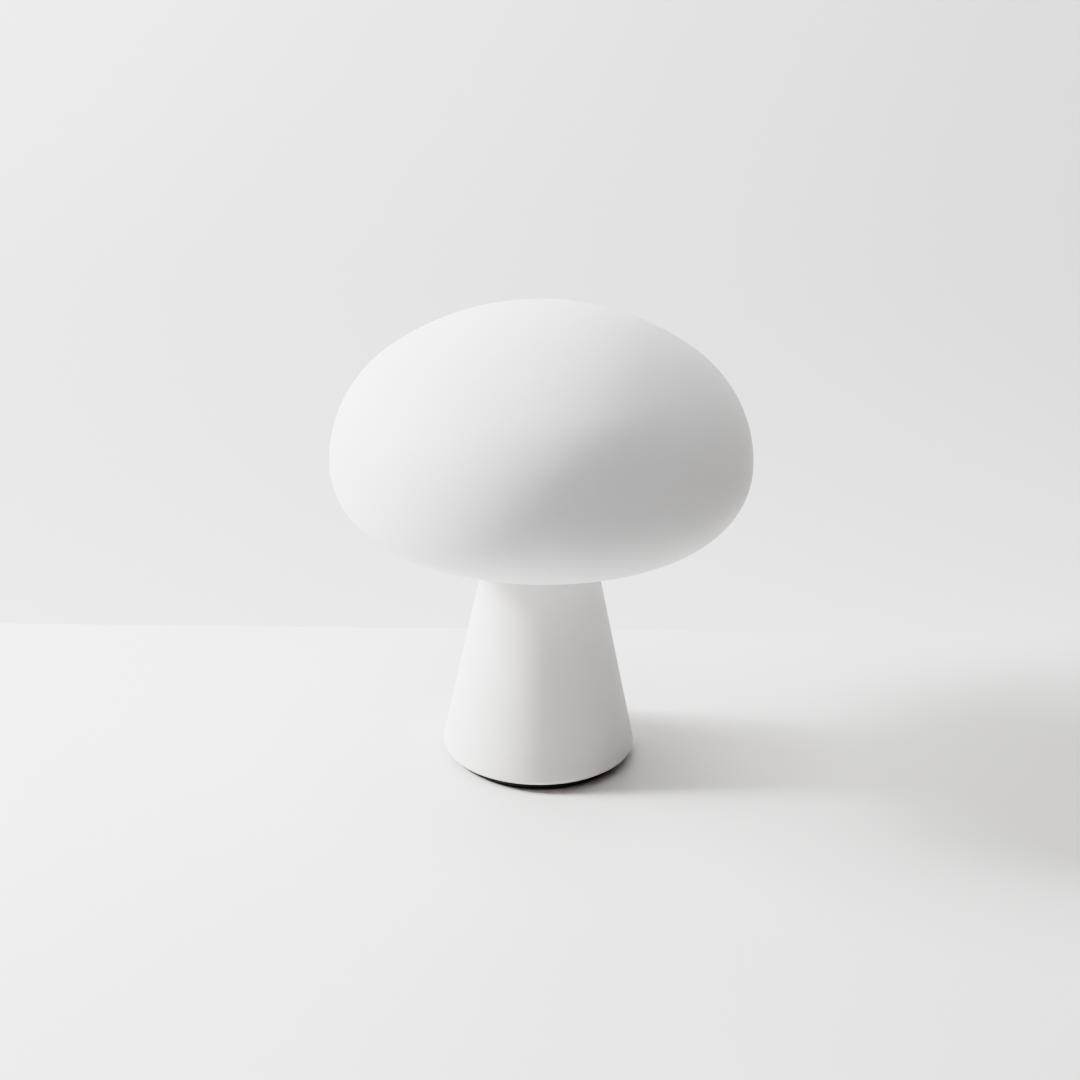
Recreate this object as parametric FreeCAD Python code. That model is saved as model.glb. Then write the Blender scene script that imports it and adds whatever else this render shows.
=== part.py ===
import FreeCAD
import Part
import math
import os

from FreeCAD import Vector

# Mushroom table lamp: a closed opal glass shade stands on a hollow opal glass cone.
# The cone is clamped between a black steel base plate and a gallery plate by one
# threaded tube. The tube carries an E14 lampholder with a golf-ball bulb, and the
# shade lifts straight off the gallery so that the bulb can be changed.
# Millimetres, +Z up. The origin is on the table, on the lamp's axis. The photograph
# looks along +Y, and the hole for the mains cord is at the back, on the +Y side.

os.makedirs("parts", exist_ok=True)

# ---------------------------------------------------------------- driving dimensions
# Whole lamp. TOUCH is the air left between pieces that bear on each other, and
# HOLE_CLEARANCE the air round a tube, screw or rivet in its hole
LAMP_HEIGHT = 250.0
TOUCH = 0.02
HOLE_CLEARANCE = 0.1

# Shade: a flat crown arc and a shoulder arc above the widest line, below it a tight
# side arc and a wide underside arc that ends on a flat ground rim round the hole
SHADE_RADIUS = 110.0
DOME_RISE = 80.0
SHOULDER_ARC = 65.0
SIDE_ARC = 36.0
UNDERSIDE_ARC = 150.0
SHADE_FLAT_RADIUS = 27.0
SHADE_RIM_LAND = 2.0
SHADE_WALL = 3.0
SHADE_RIM_ROUND = 0.6

# Glass cone of the base
CONE_FOOT_RADIUS = 52.5
CONE_TOP_RADIUS = 28.1
CONE_WALL = 3.5
CONE_FOOT_ROUND = 3.0
CONE_FOOT_HOLE_RADIUS = 43.0
CONE_RIM_ROUND = 0.5

# Base plate, its foam pad and the fibre ring that the cone stands on
PAD_THICK = 1.2
PAD_RADIUS = 46.0
PAD_HOLE_RADIUS = 12.0
PLATE_THICK = 2.4
PLATE_RADIUS = 47.5
PLATE_EDGE_ROUND = 0.4
RIM_GASKET_THICK = 0.6
RIM_GASKET_RADIUS = 48.0
SPIGOT_CLEARANCE = 0.4
SPIGOT_HEIGHT = 2.4
PLATE_BOSS_RADIUS = 13.5
PLATE_BOSS_HEIGHT = 4.0
NUT_RECESS_RADIUS = 10.0
NUT_RECESS_ROOF = 3.8

# Cast ballast ring
BALLAST_RADIUS = 40.0
BALLAST_THICK = 8.0
BALLAST_BORE_CLEARANCE = 1.0
BALLAST_EDGE_ROUND = 1.5
BALLAST_SCREW_COUNT = 3
BALLAST_SCREW_CIRCLE = 28.0
BALLAST_SCREW_RADIUS = 2.0
BALLAST_SCREW_HEAD_RADIUS = 3.8
BALLAST_SCREW_BITE = 5.4
BALLAST_SCREW_FIRST = -90.0
CROSS_RECESS_LENGTH = 4.0
CROSS_RECESS_WIDTH = 1.0
TAPPED_HOLE_SPARE = 0.6

# Threaded tube with its nuts and washers
TUBE_RADIUS = 5.0
TUBE_BORE_RADIUS = 3.8
NUT_ACROSS_FLATS = 14.0
NUT_THICK = 3.0
NUT_FACE_SHARE = 0.96
NUT_CHAMFER_ANGLE = 30.0
WASHER_RADIUS = 8.6
WASHER_THICK = 0.8
WASHER_TEETH = 16
WASHER_TOOTH_DEPTH = 1.2
TUBE_END_STICKOUT = 0.8
LEAD_SLOT_WIDTH = 5.8
LEAD_SLOT_HEIGHT = 13.0
LEAD_SLOT_HEIGHT_ABOVE_BALLAST = 14.0

# Cord hole in the cone, with its rubber bush
INLET_HEIGHT = 22.0
INLET_HOLE_RADIUS = 5.0
BUSH_BORE_RADIUS = 3.1
BUSH_FLANGE_RADIUS = 7.2
BUSH_FLANGE_THICK = 1.8
BUSH_FIT = 0.1

# Two-pole terminal block on the ballast
BLOCK_LENGTH = 21.0
BLOCK_DEPTH = 16.0
BLOCK_HEIGHT = 8.5
BLOCK_CORNER_ROUND = 1.0
BLOCK_TOWER_RADIUS = 3.3
BLOCK_TOWER_HEIGHT = 4.0
BLOCK_DISTANCE = 26.0
POLE_SPACING = 10.4
POLE_HEIGHT = 4.6
INSERT_RADIUS = 2.5
INSERT_BORE_RADIUS = 1.7
INSERT_SET_BACK = 1.5
CLAMP_SCREW_RADIUS = 1.25
CLAMP_SCREW_SPACING = 8.0
CLAMP_SCREW_HEAD_RADIUS = 1.9
FIXING_SCREW_RADIUS = 1.4
FIXING_SCREW_HEAD_RADIUS = 2.3
FIXING_SCREW_BITE = 4.0
SCREW_HEAD_THICK = 1.8
SCREW_SLOT_WIDTH = 0.6
SCREW_SLOT_DEPTH = 0.8

# Inner leads
LEAD_RADIUS = 1.1
LEAD_PAIR_SPACING = 2.7
LEAD_TERMINAL_SPACING = 10.0
LEAD_BEND_SHARE = 0.45
LEAD_IN_POLE = 6.0
LEAD_OUT_OF_POLE = 4.0
LEAD_BEFORE_TUBE = 4.0
LEAD_BELOW_SLOT = 7.0
LEAD_ABOVE_SLOT = 8.0
LEAD_ABOVE_TUBE = 1.5
LEAD_BELOW_POST = 4.0

# Gallery plate between the cone and the shade
SEAT_RING_THICK = 0.7
SEAT_RING_WIDTH = 2.0
SEAT_CLEARANCE = 0.3
GALLERY_PLATE_THICK = 1.0
GALLERY_GASKET_THICK = 0.8
GALLERY_INSIDE_CONE = 0.9
GALLERY_PAST_SEAT = 0.2
GALLERY_GASKET_CLEARANCE = 0.2
COLLAR_CLEARANCE = 0.6
COLLAR_WALL = 1.2
COLLAR_HEIGHT = 9.6
REGISTER_CLEARANCE = 0.4
REGISTER_WALL = 1.2
REGISTER_DEPTH = 5.0
VENT_COUNT = 12
VENT_SHARE = 0.54

# Three leaf springs that centre the shade on the collar
SPRING_COUNT = 3
SPRING_WIDTH = 6.0
SPRING_THICK = 0.4
SPRING_TO_HOLE = 0.3
SPRING_BELOW_RIM = 0.3
WINDOW_CLEARANCE = 0.6
WINDOW_HEIGHT = 5.4
WINDOW_ABOVE_PLATE = 1.2
RIVET_RADIUS = 0.8
RIVET_HEAD_RADIUS = 1.4
RIVET_HEAD_THICK = 0.5

# Lampholder, E14
HOLDER_RADIUS = 14.0
HOLDER_LENGTH = 54.0
HOLDER_MOUTH_ABOVE_PLATE = 4.6
HOLDER_WALL = 2.4
HOLDER_LIP_THICK = 1.0
HOLDER_LIP_HOLE_RADIUS = 8.4
HOLDER_FLANGE_RADIUS = 17.0
HOLDER_FLANGE_THICK = 2.0
HOLDER_CAP_LENGTH = 18.0
HOLDER_BOSS_RADIUS = 8.5
HOLDER_BOSS_LENGTH = 9.0
HOLDER_SHOULDER_RISE = 1.0
HOLDER_SHOULDER_BOW = 0.3
HOLDER_BOSS_STRAIGHT = 0.55
HOLDER_CAP_WALL = 1.6
TUBE_IN_HOLDER = 7.6
HOLDER_JOINT_LIP = 2.4
HOLDER_FIT = 0.2
RING_RADIUS = 18.4
RING_HEIGHT = 4.4
RING_GRIP_COUNT = 24
RING_GRIP_RADIUS = 0.7
SCREW_SHELL_RADIUS = 7.0
SCREW_SHELL_WALL = 0.5
SCREW_SHELL_LENGTH = 15.0
CORE_FLOOR_THICK = 6.0
CORE_WELL_DEPTH = 21.5
CORE_SKIRT_WALL = 2.0
SCREW_SHELL_BELOW_TOP = 0.8
SHELL_TONGUE_WIDTH = 4.0
SHELL_FOOT_LENGTH = 3.0
CONTACT_WIDTH = 4.0
CONTACT_THICK = 0.5
CONTACT_BEND_SHARE = 0.4
CONTACT_RISE = 2.3
CONTACT_PAD_LENGTH = 3.6
CONTACT_FOOT_LENGTH = 3.2
CONTACT_RIVET_RADIUS = 0.9
CONTACT_RIVET_HEAD_RADIUS = 1.2
CONTACT_RIVET_HEAD_THICK = 0.5
POST_SIZE = 5.0
POST_HEIGHT = 6.0
POST_SCREW_RADIUS = 1.2
POST_SCREW_HEAD_RADIUS = 2.0
POST_SCREW_HEAD_THICK = 1.4
GRUB_RADIUS = 1.5
GRUB_SOCKET_ACROSS_FLATS = 1.5
GRUB_SOCKET_DEPTH = 1.4
GRUB_BELOW_FACE = 0.2
GRUB_LEVEL = 0.28

# Bulb, golf-ball shape on an E14 cap
BULB_LENGTH = 78.0
BULB_RADIUS = 22.5
BULB_WALL = 1.0
BULB_NECK_RADIUS = 17.0
BULB_CAP_RADIUS = 6.8
BULB_CAP_WALL = 0.4
BULB_CAP_TOP = 20.0
BULB_CAP_BOTTOM = 3.4
BULB_CAP_FLANGE = 1.0
BULB_COLLAR_FOOT_RADIUS = 9.4
BULB_COLLAR_FOOT = 20.8
BULB_COLLAR_WALL = 1.4
BULB_COLLAR_PROUD = 0.2
BULB_COLLAR_BOW = 0.42
BULB_BUTTON_RADIUS = 2.4
BULB_BUTTON_THICK = 1.2
BULB_BUTTON_ROUND = 0.6
BULB_INSULATOR_PROUD = 0.4
BULB_INSULATOR_IN_CAP = 1.5
BULB_CONTACT_GAP = 0.2
LED_BOARD_THICK = 1.4
LED_BOARD_CLEARANCE = 0.25
LED_BOARD_LEDGE = 0.6
LED_COUNT = 8
LED_CIRCLE = 9.5
LED_SIZE = 2.8
LED_THICK = 0.7
DRIVER_WIDTH = 12.0
DRIVER_LENGTH = 16.0
DRIVER_THICK = 1.2
DRIVER_CAN_RADIUS = 2.6
DRIVER_CAN_LENGTH = 7.0
DRIVER_CAN_STAND = 0.3
DRIVER_LEG_GAP = 0.3

# ---------------------------------------------------------------- sizes that follow
THREAD_CLEARANCE = 0.5 * HOLE_CLEARANCE
PLATE_TOP = PAD_THICK + PLATE_THICK
CONE_FOOT = PLATE_TOP + RIM_GASKET_THICK
SPIGOT_RADIUS = CONE_FOOT_HOLE_RADIUS - SPIGOT_CLEARANCE
BALLAST_FOOT = PLATE_TOP + SPIGOT_HEIGHT
BALLAST_TOP = BALLAST_FOOT + BALLAST_THICK
BALLAST_BORE = PLATE_BOSS_RADIUS + BALLAST_BORE_CLEARANCE
PLATE_BOSS_TOP = BALLAST_FOOT + PLATE_BOSS_HEIGHT
NUT_RECESS_TOP = PLATE_BOSS_TOP - NUT_RECESS_ROOF

SHADE_HOLE_RADIUS = SHADE_FLAT_RADIUS - SHADE_RIM_LAND
EQUATOR = LAMP_HEIGHT - DOME_RISE
SHOULDER_CENTRE = SHADE_RADIUS - SHOULDER_ARC
CROWN_ARC = (SHADE_RADIUS**2 + DOME_RISE**2 - 2 * SHADE_RADIUS * SHOULDER_ARC) / (
    2 * (DOME_RISE - SHOULDER_ARC)
)
CROWN_CENTRE = LAMP_HEIGHT - CROWN_ARC
SIDE_CENTRE = SHADE_RADIUS - SIDE_ARC
ARC_CENTRES_APART = UNDERSIDE_ARC - SIDE_ARC
ARC_CENTRES_ACROSS = SIDE_CENTRE - SHADE_FLAT_RADIUS
UNDERSIDE_CENTRE = EQUATOR + math.sqrt(ARC_CENTRES_APART**2 - ARC_CENTRES_ACROSS**2)
SHADE_FOOT = UNDERSIDE_CENTRE - UNDERSIDE_ARC

GALLERY_TOP = SHADE_FOOT - SEAT_CLEARANCE - SEAT_RING_THICK
GALLERY_FOOT = GALLERY_TOP - GALLERY_PLATE_THICK
CONE_TOP = GALLERY_FOOT - GALLERY_GASKET_THICK
CONE_SLOPE = (CONE_FOOT_RADIUS - CONE_TOP_RADIUS) / (CONE_TOP - CONE_FOOT)
CONE_TILT = math.atan(CONE_SLOPE)
CONE_WALL_ACROSS = CONE_WALL / math.cos(CONE_TILT)
GALLERY_RADIUS = max(
    CONE_TOP_RADIUS - GALLERY_INSIDE_CONE, SHADE_FLAT_RADIUS + GALLERY_PAST_SEAT
)
COLLAR_RADIUS = SHADE_HOLE_RADIUS - COLLAR_CLEARANCE
REGISTER_RADIUS = CONE_TOP_RADIUS - CONE_WALL_ACROSS - REGISTER_CLEARANCE

HOLDER_TOP = GALLERY_TOP + HOLDER_MOUTH_ABOVE_PLATE
HOLDER_FOOT = HOLDER_TOP - HOLDER_LENGTH
HOLDER_JOINT = HOLDER_FOOT + HOLDER_CAP_LENGTH
HOLDER_BORE = HOLDER_RADIUS - HOLDER_WALL
TUBE_TOP = HOLDER_FOOT + TUBE_IN_HOLDER
CORE_RADIUS = HOLDER_BORE - HOLDER_FIT
CORE_TOP = HOLDER_TOP - HOLDER_LIP_THICK
CORE_FOOT = HOLDER_JOINT + HOLDER_JOINT_LIP
CORE_WELL_FLOOR = CORE_TOP - CORE_WELL_DEPTH
CORE_FLOOR_FOOT = CORE_WELL_FLOOR - CORE_FLOOR_THICK
CORE_WELL_RADIUS = SCREW_SHELL_RADIUS + SCREW_SHELL_WALL + 0.5 * HOLDER_FIT
POST_FOOT = CORE_FLOOR_FOOT - POST_HEIGHT

BULB_TIP = CORE_WELL_FLOOR + CONTACT_RISE + BULB_CONTACT_GAP
BULB_CENTRE = BULB_TIP + BULB_LENGTH - BULB_RADIUS
BULB_NECK = BULB_CENTRE - math.sqrt(BULB_RADIUS**2 - BULB_NECK_RADIUS**2)

GLOBE_MOUTH_RADIUS = math.sqrt(
    (BULB_RADIUS - BULB_WALL) ** 2 - (BULB_CENTRE - BULB_NECK) ** 2
)
LED_BOARD_RADIUS = GLOBE_MOUTH_RADIUS - LED_BOARD_CLEARANCE

NUT_UNDER = NUT_RECESS_TOP - WASHER_THICK - NUT_THICK
TUBE_FOOT = NUT_UNDER - TUBE_END_STICKOUT
LEAD_SLOT_MIDDLE = BALLAST_TOP + LEAD_SLOT_HEIGHT_ABOVE_BALLAST
POLE_LEVEL = BALLAST_TOP + POLE_HEIGHT
BLOCK_TOP = BALLAST_TOP + BLOCK_HEIGHT
TOWER_TOP = BLOCK_TOP + BLOCK_TOWER_HEIGHT

AXIS = Vector(0, 0, 1)
BACK = Vector(0, 1, 0)
RIGHT = Vector(1, 0, 0)
ORIGIN = Vector(0, 0, 0)

# How near two places count as one, and how far a cut runs past a face
SAME = 1e-4
PAST = 1.0


# ---------------------------------------------------------------- small helpers
def disc(radius, foot, top, x=0.0, y=0.0):
    return Part.makeCylinder(radius, top - foot, Vector(x, y, foot))


def ring(bore, radius, foot, top, x=0.0, y=0.0):
    return disc(radius, foot, top, x, y).cut(disc(bore, foot - PAST, top + PAST, x, y))


def line(a, b):
    """A straight edge between two (radius, height) points of a half section."""
    return Part.LineSegment(Vector(a[0], 0, a[1]), Vector(b[0], 0, b[1])).toShape()


def arc(a, middle, b):
    """A circular edge through three (radius, height) points of a half section."""
    points = [Vector(p[0], 0, p[1]) for p in (a, middle, b)]
    return Part.Arc(*points).toShape()


def polygon(points):
    """The closed outline through (radius, height) points of a half section."""
    return [line(a, b) for a, b in zip(points, points[1:] + points[:1])]


def turned(edges):
    """The solid of revolution of a closed half section."""
    face = Part.Face(Part.Wire(Part.__sortEdges__(edges)))
    return face.revolve(ORIGIN, AXIS, 360)


def round_edges_at(solid, radius, height, rounding):
    """Rounds the circular edges that lie at a radius and a height."""
    chosen = []
    for edge in solid.Edges:
        if edge.Length < SAME or not isinstance(edge.Curve, Part.Circle):
            continue
        same_radius = abs(edge.Curve.Radius - radius) < SAME
        same_height = abs(edge.Curve.Center.z - height) < SAME
        if same_radius and same_height:
            chosen.append(edge)
    return solid.makeFillet(rounding, chosen)


def around(solid, count, first=0.0):
    """Copies of a solid, evenly spaced round the lamp's axis."""
    copies = []
    for i in range(count):
        copy = solid.copy()
        copy.rotate(ORIGIN, AXIS, first + 360.0 * i / count)
        copies.append(copy)
    return copies


def hexagon(across_flats, foot, top, direction=AXIS, base=None):
    """A hexagonal prism about the lamp's axis, or about another line."""
    corner = across_flats / math.sqrt(3)
    points = []
    for i in range(7):
        angle = math.radians(60 * i + 30)
        points.append(Vector(corner * math.cos(angle), corner * math.sin(angle), foot))
    prism = Part.Face(Part.makePolygon(points)).extrude(Vector(0, 0, top - foot))
    if base is not None:
        prism.Placement = FreeCAD.Placement(base, FreeCAD.Rotation(AXIS, direction))
    return prism


def save(name, solids):
    """Writes one sub-part. Several solids stay separate in one file."""
    shape = solids if isinstance(solids, Part.Shape) else Part.makeCompound(solids)
    shape.exportStep(os.path.join("parts", name + ".step"))


# ---------------------------------------------------------------- shade
def arc_between(centre, radius, start, end):
    """An arc about a (radius, height) centre, between two angles above the horizontal."""
    points = []
    for angle in (start, (start + end) / 2, end):
        points.append(
            (centre[0] + radius * math.cos(angle), centre[1] + radius * math.sin(angle))
        )
    return arc(*points)


def shade_blank(inset):
    """The shade as a full solid, inset from its outer face, from four tangent arcs."""
    under = -math.acos(ARC_CENTRES_ACROSS / ARC_CENTRES_APART)
    shoulder = math.atan2(EQUATOR - CROWN_CENTRE, SHOULDER_CENTRE)
    foot = SHADE_FOOT + inset
    top = LAMP_HEIGHT - inset
    section = [
        line((0.0, foot), (SHADE_FLAT_RADIUS, foot)),
        arc_between(
            (SHADE_FLAT_RADIUS, UNDERSIDE_CENTRE), UNDERSIDE_ARC - inset, -math.pi / 2, under
        ),
        arc_between((SIDE_CENTRE, EQUATOR), SIDE_ARC - inset, under, 0.0),
        arc_between((SHOULDER_CENTRE, EQUATOR), SHOULDER_ARC - inset, 0.0, shoulder),
        arc_between((0.0, CROWN_CENTRE), CROWN_ARC - inset, shoulder, math.pi / 2),
        line((0.0, top), (0.0, foot)),
    ]
    return turned(section)


def make_shade():
    """One blown shell, closed on top, with a ground round hole underneath."""
    shell = shade_blank(0.0).cut(shade_blank(SHADE_WALL))
    shell = shell.cut(disc(SHADE_HOLE_RADIUS, SHADE_FOOT - PAST, EQUATOR))
    for height in (SHADE_FOOT, SHADE_FOOT + SHADE_WALL):
        shell = round_edges_at(shell, SHADE_HOLE_RADIUS, height, SHADE_RIM_ROUND)
    return shell


# ---------------------------------------------------------------- glass cone
def cone_radius(height):
    """The cone's outer radius at a height."""
    return CONE_FOOT_RADIUS - CONE_SLOPE * (height - CONE_FOOT)


def cone_band(outset, inset, foot, top):
    """A conical shell about the cone's wall, thicker or thinner than the wall."""
    grow_out = outset / math.cos(CONE_TILT)
    grow_in = inset / math.cos(CONE_TILT)
    outer = [cone_radius(foot) + grow_out, cone_radius(top) + grow_out]
    inner = [r - grow_out - CONE_WALL_ACROSS - grow_in for r in outer]
    section = [(inner[0], foot), (outer[0], foot), (outer[1], top), (inner[1], top)]
    return turned(polygon(section))


def inlet_line():
    """The point on the cone's outer face where the cord enters, and the way out."""
    point = Vector(0, cone_radius(INLET_HEIGHT), INLET_HEIGHT)
    way_out = Vector(0, math.cos(CONE_TILT), math.sin(CONE_TILT))
    return point, way_out


def inlet_rod(radius, inside, outside):
    """A rod square to the cone's wall at the cord hole."""
    point, way_out = inlet_line()
    return Part.makeCylinder(radius, inside + outside, point - way_out * inside, way_out)


def make_base_cone():
    """The glass cone: open on top, with an inward foot rim and a drilled cord hole."""
    foot_top = CONE_FOOT + CONE_WALL
    section = [
        (CONE_FOOT_HOLE_RADIUS, CONE_FOOT),
        (CONE_FOOT_RADIUS, CONE_FOOT),
        (CONE_TOP_RADIUS, CONE_TOP),
        (CONE_TOP_RADIUS - CONE_WALL_ACROSS, CONE_TOP),
        (cone_radius(foot_top) - CONE_WALL_ACROSS, foot_top),
        (CONE_FOOT_HOLE_RADIUS, foot_top),
    ]
    cone = turned(polygon(section))
    cone = round_edges_at(cone, CONE_FOOT_RADIUS, CONE_FOOT, CONE_FOOT_ROUND)
    cone = round_edges_at(cone, CONE_TOP_RADIUS, CONE_TOP, CONE_RIM_ROUND)
    return cone.cut(inlet_rod(INLET_HOLE_RADIUS, 2 * CONE_WALL, CONE_WALL))


def make_cord_bush():
    """A rubber bush with a flange on each side of the glass, shaped to the wall."""
    reach_in = CONE_WALL + BUSH_FLANGE_THICK
    blank = inlet_rod(BUSH_FLANGE_RADIUS, reach_in, BUSH_FLANGE_THICK)
    band = cone_band(
        BUSH_FIT,
        BUSH_FIT,
        INLET_HEIGHT - 3 * BUSH_FLANGE_RADIUS,
        INLET_HEIGHT + 3 * BUSH_FLANGE_RADIUS,
    )
    groove = band.cut(inlet_rod(INLET_HOLE_RADIUS - BUSH_FIT, 3 * reach_in, 3 * reach_in))
    bush = blank.cut(groove)
    return bush.cut(inlet_rod(BUSH_BORE_RADIUS, 2 * reach_in, 2 * reach_in))


# ---------------------------------------------------------------- base plate stack
def ballast_screw_places():
    """The ballast screws' centres, kept clear of the terminal block at the back."""
    places = []
    for i in range(BALLAST_SCREW_COUNT):
        angle = math.radians(BALLAST_SCREW_FIRST + 360.0 * i / BALLAST_SCREW_COUNT)
        across = BALLAST_SCREW_CIRCLE * math.cos(angle)
        back = BALLAST_SCREW_CIRCLE * math.sin(angle)
        places.append((across, back))
    return places


def countersink(x, y, clearance):
    """The 90 degree head of a ballast screw, flush with the plate's underside."""
    head = BALLAST_SCREW_HEAD_RADIUS + clearance
    shank = BALLAST_SCREW_RADIUS + clearance
    return Part.makeCone(head, shank, head - shank, Vector(x, y, PAD_THICK))


def make_foot_pad():
    return ring(PAD_HOLE_RADIUS, PAD_RADIUS, 0.0, PAD_THICK)


def make_base_plate():
    """Steel plate: outer disc, spigot inside the glass, raised boss over the nut."""
    plate = disc(PLATE_RADIUS, PAD_THICK, PLATE_TOP)
    plate = round_edges_at(plate, PLATE_RADIUS, PAD_THICK, PLATE_EDGE_ROUND)
    plate = plate.fuse(disc(SPIGOT_RADIUS, PLATE_TOP, BALLAST_FOOT))
    plate = plate.fuse(disc(PLATE_BOSS_RADIUS, BALLAST_FOOT, PLATE_BOSS_TOP))
    plate = plate.cut(disc(NUT_RECESS_RADIUS, 0.0, NUT_RECESS_TOP))
    plate = plate.cut(disc(TUBE_RADIUS + HOLE_CLEARANCE, 0.0, PLATE_BOSS_TOP + PAST))
    for x, y in ballast_screw_places():
        hole = BALLAST_SCREW_RADIUS + HOLE_CLEARANCE
        plate = plate.cut(disc(hole, 0.0, BALLAST_FOOT + PAST, x, y))
        plate = plate.cut(countersink(x, y, HOLE_CLEARANCE))
    return plate.removeSplitter()


def make_rim_gasket():
    return ring(
        SPIGOT_RADIUS + SPIGOT_CLEARANCE, RIM_GASKET_RADIUS, PLATE_TOP, CONE_FOOT
    )


def make_ballast():
    """A cast ring on the spigot, tapped for its screws and for the terminal block."""
    ballast = ring(BALLAST_BORE, BALLAST_RADIUS, BALLAST_FOOT, BALLAST_TOP)
    ballast = round_edges_at(ballast, BALLAST_RADIUS, BALLAST_TOP, BALLAST_EDGE_ROUND)
    ballast = round_edges_at(ballast, BALLAST_BORE, BALLAST_TOP, BALLAST_EDGE_ROUND)
    for x, y in ballast_screw_places():
        hole = BALLAST_SCREW_RADIUS + THREAD_CLEARANCE
        depth = BALLAST_FOOT + BALLAST_SCREW_BITE + TAPPED_HOLE_SPARE
        ballast = ballast.cut(disc(hole, BALLAST_FOOT - PAST, depth, x, y))
    hole = FIXING_SCREW_RADIUS + THREAD_CLEARANCE
    depth = BALLAST_TOP - FIXING_SCREW_BITE - TAPPED_HOLE_SPARE
    return ballast.cut(disc(hole, depth, BALLAST_TOP + PAST, 0.0, BLOCK_DISTANCE))


def make_ballast_screws():
    """Countersunk machine screws from below, with a cross recess in the head."""
    screws = []
    for x, y in ballast_screw_places():
        screw = countersink(x, y, 0.0)
        screw = screw.fuse(
            disc(BALLAST_SCREW_RADIUS, PAD_THICK, BALLAST_FOOT + BALLAST_SCREW_BITE, x, y)
        )
        for length, width in (
            (CROSS_RECESS_LENGTH, CROSS_RECESS_WIDTH),
            (CROSS_RECESS_WIDTH, CROSS_RECESS_LENGTH),
        ):
            corner = Vector(x - length / 2, y - width / 2, PAD_THICK)
            screw = screw.cut(Part.makeBox(length, width, CROSS_RECESS_WIDTH, corner))
        screws.append(screw)
    return screws


# ---------------------------------------------------------------- tube, nuts, washers
def make_tube():
    """The threaded tube, with a slot at the back where the two leads go in."""
    tube = ring(TUBE_BORE_RADIUS, TUBE_RADIUS, TUBE_FOOT, TUBE_TOP)
    half = LEAD_SLOT_WIDTH / 2
    straight = LEAD_SLOT_HEIGHT / 2 - half
    slot = Part.makeBox(
        LEAD_SLOT_WIDTH,
        TUBE_RADIUS + PAST,
        2 * straight,
        Vector(-half, 0, LEAD_SLOT_MIDDLE - straight),
    )
    for end in (-straight, straight):
        base = Vector(0, 0, LEAD_SLOT_MIDDLE + end)
        slot = slot.fuse(Part.makeCylinder(half, TUBE_RADIUS + PAST, base, BACK))
    return tube.cut(slot.removeSplitter())


def make_washer(foot):
    """A lock washer with teeth round its rim."""
    washer = disc(WASHER_RADIUS, foot, foot + WASHER_THICK)
    gap = math.pi * WASHER_RADIUS / WASHER_TEETH
    notch = Part.makeBox(
        WASHER_TOOTH_DEPTH + PAST,
        gap,
        WASHER_THICK + 2 * PAST,
        Vector(WASHER_RADIUS - WASHER_TOOTH_DEPTH, -gap / 2, foot - PAST),
    )
    for cut in around(notch, WASHER_TEETH):
        washer = washer.cut(cut)
    return washer.cut(disc(TUBE_RADIUS + HOLE_CLEARANCE, foot - PAST, foot + WASHER_THICK + PAST))


def make_nut(foot):
    """A thin hexagon nut with turned corners."""
    top = foot + NUT_THICK
    corner = NUT_ACROSS_FLATS / math.sqrt(3)
    face = NUT_FACE_SHARE * NUT_ACROSS_FLATS / 2
    outside = corner + PAST
    depth = (outside - face) * math.tan(math.radians(NUT_CHAMFER_ANGLE))
    blank = hexagon(NUT_ACROSS_FLATS, foot, top)
    for edge, inward in ((foot, 1), (top, -1)):
        shape = [
            (face, edge - inward * PAST),
            (outside, edge - inward * PAST),
            (outside, edge + inward * depth),
            (face, edge),
        ]
        blank = blank.cut(turned(polygon(shape)))
    return blank.cut(disc(TUBE_RADIUS + THREAD_CLEARANCE, foot - PAST, top + PAST))


# ---------------------------------------------------------------- terminal block
def pole_places():
    return (-POLE_SPACING / 2, POLE_SPACING / 2)


def clamp_screw_places():
    places = []
    for x in pole_places():
        for step in (-CLAMP_SCREW_SPACING / 2, CLAMP_SCREW_SPACING / 2):
            places.append((x, BLOCK_DISTANCE + step))
    return places


def along_y(radius, x, height, start, end):
    return Part.makeCylinder(radius, end - start, Vector(x, start, height), BACK)


def slot_across(x, y, radius, top):
    """The screwdriver slot across an upright screw's head."""
    length = 2 * (radius + PAST)
    corner = Vector(x - length / 2, y - SCREW_SLOT_WIDTH / 2, top - SCREW_SLOT_DEPTH)
    return Part.makeBox(length, SCREW_SLOT_WIDTH, SCREW_SLOT_DEPTH + PAST, corner)


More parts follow.
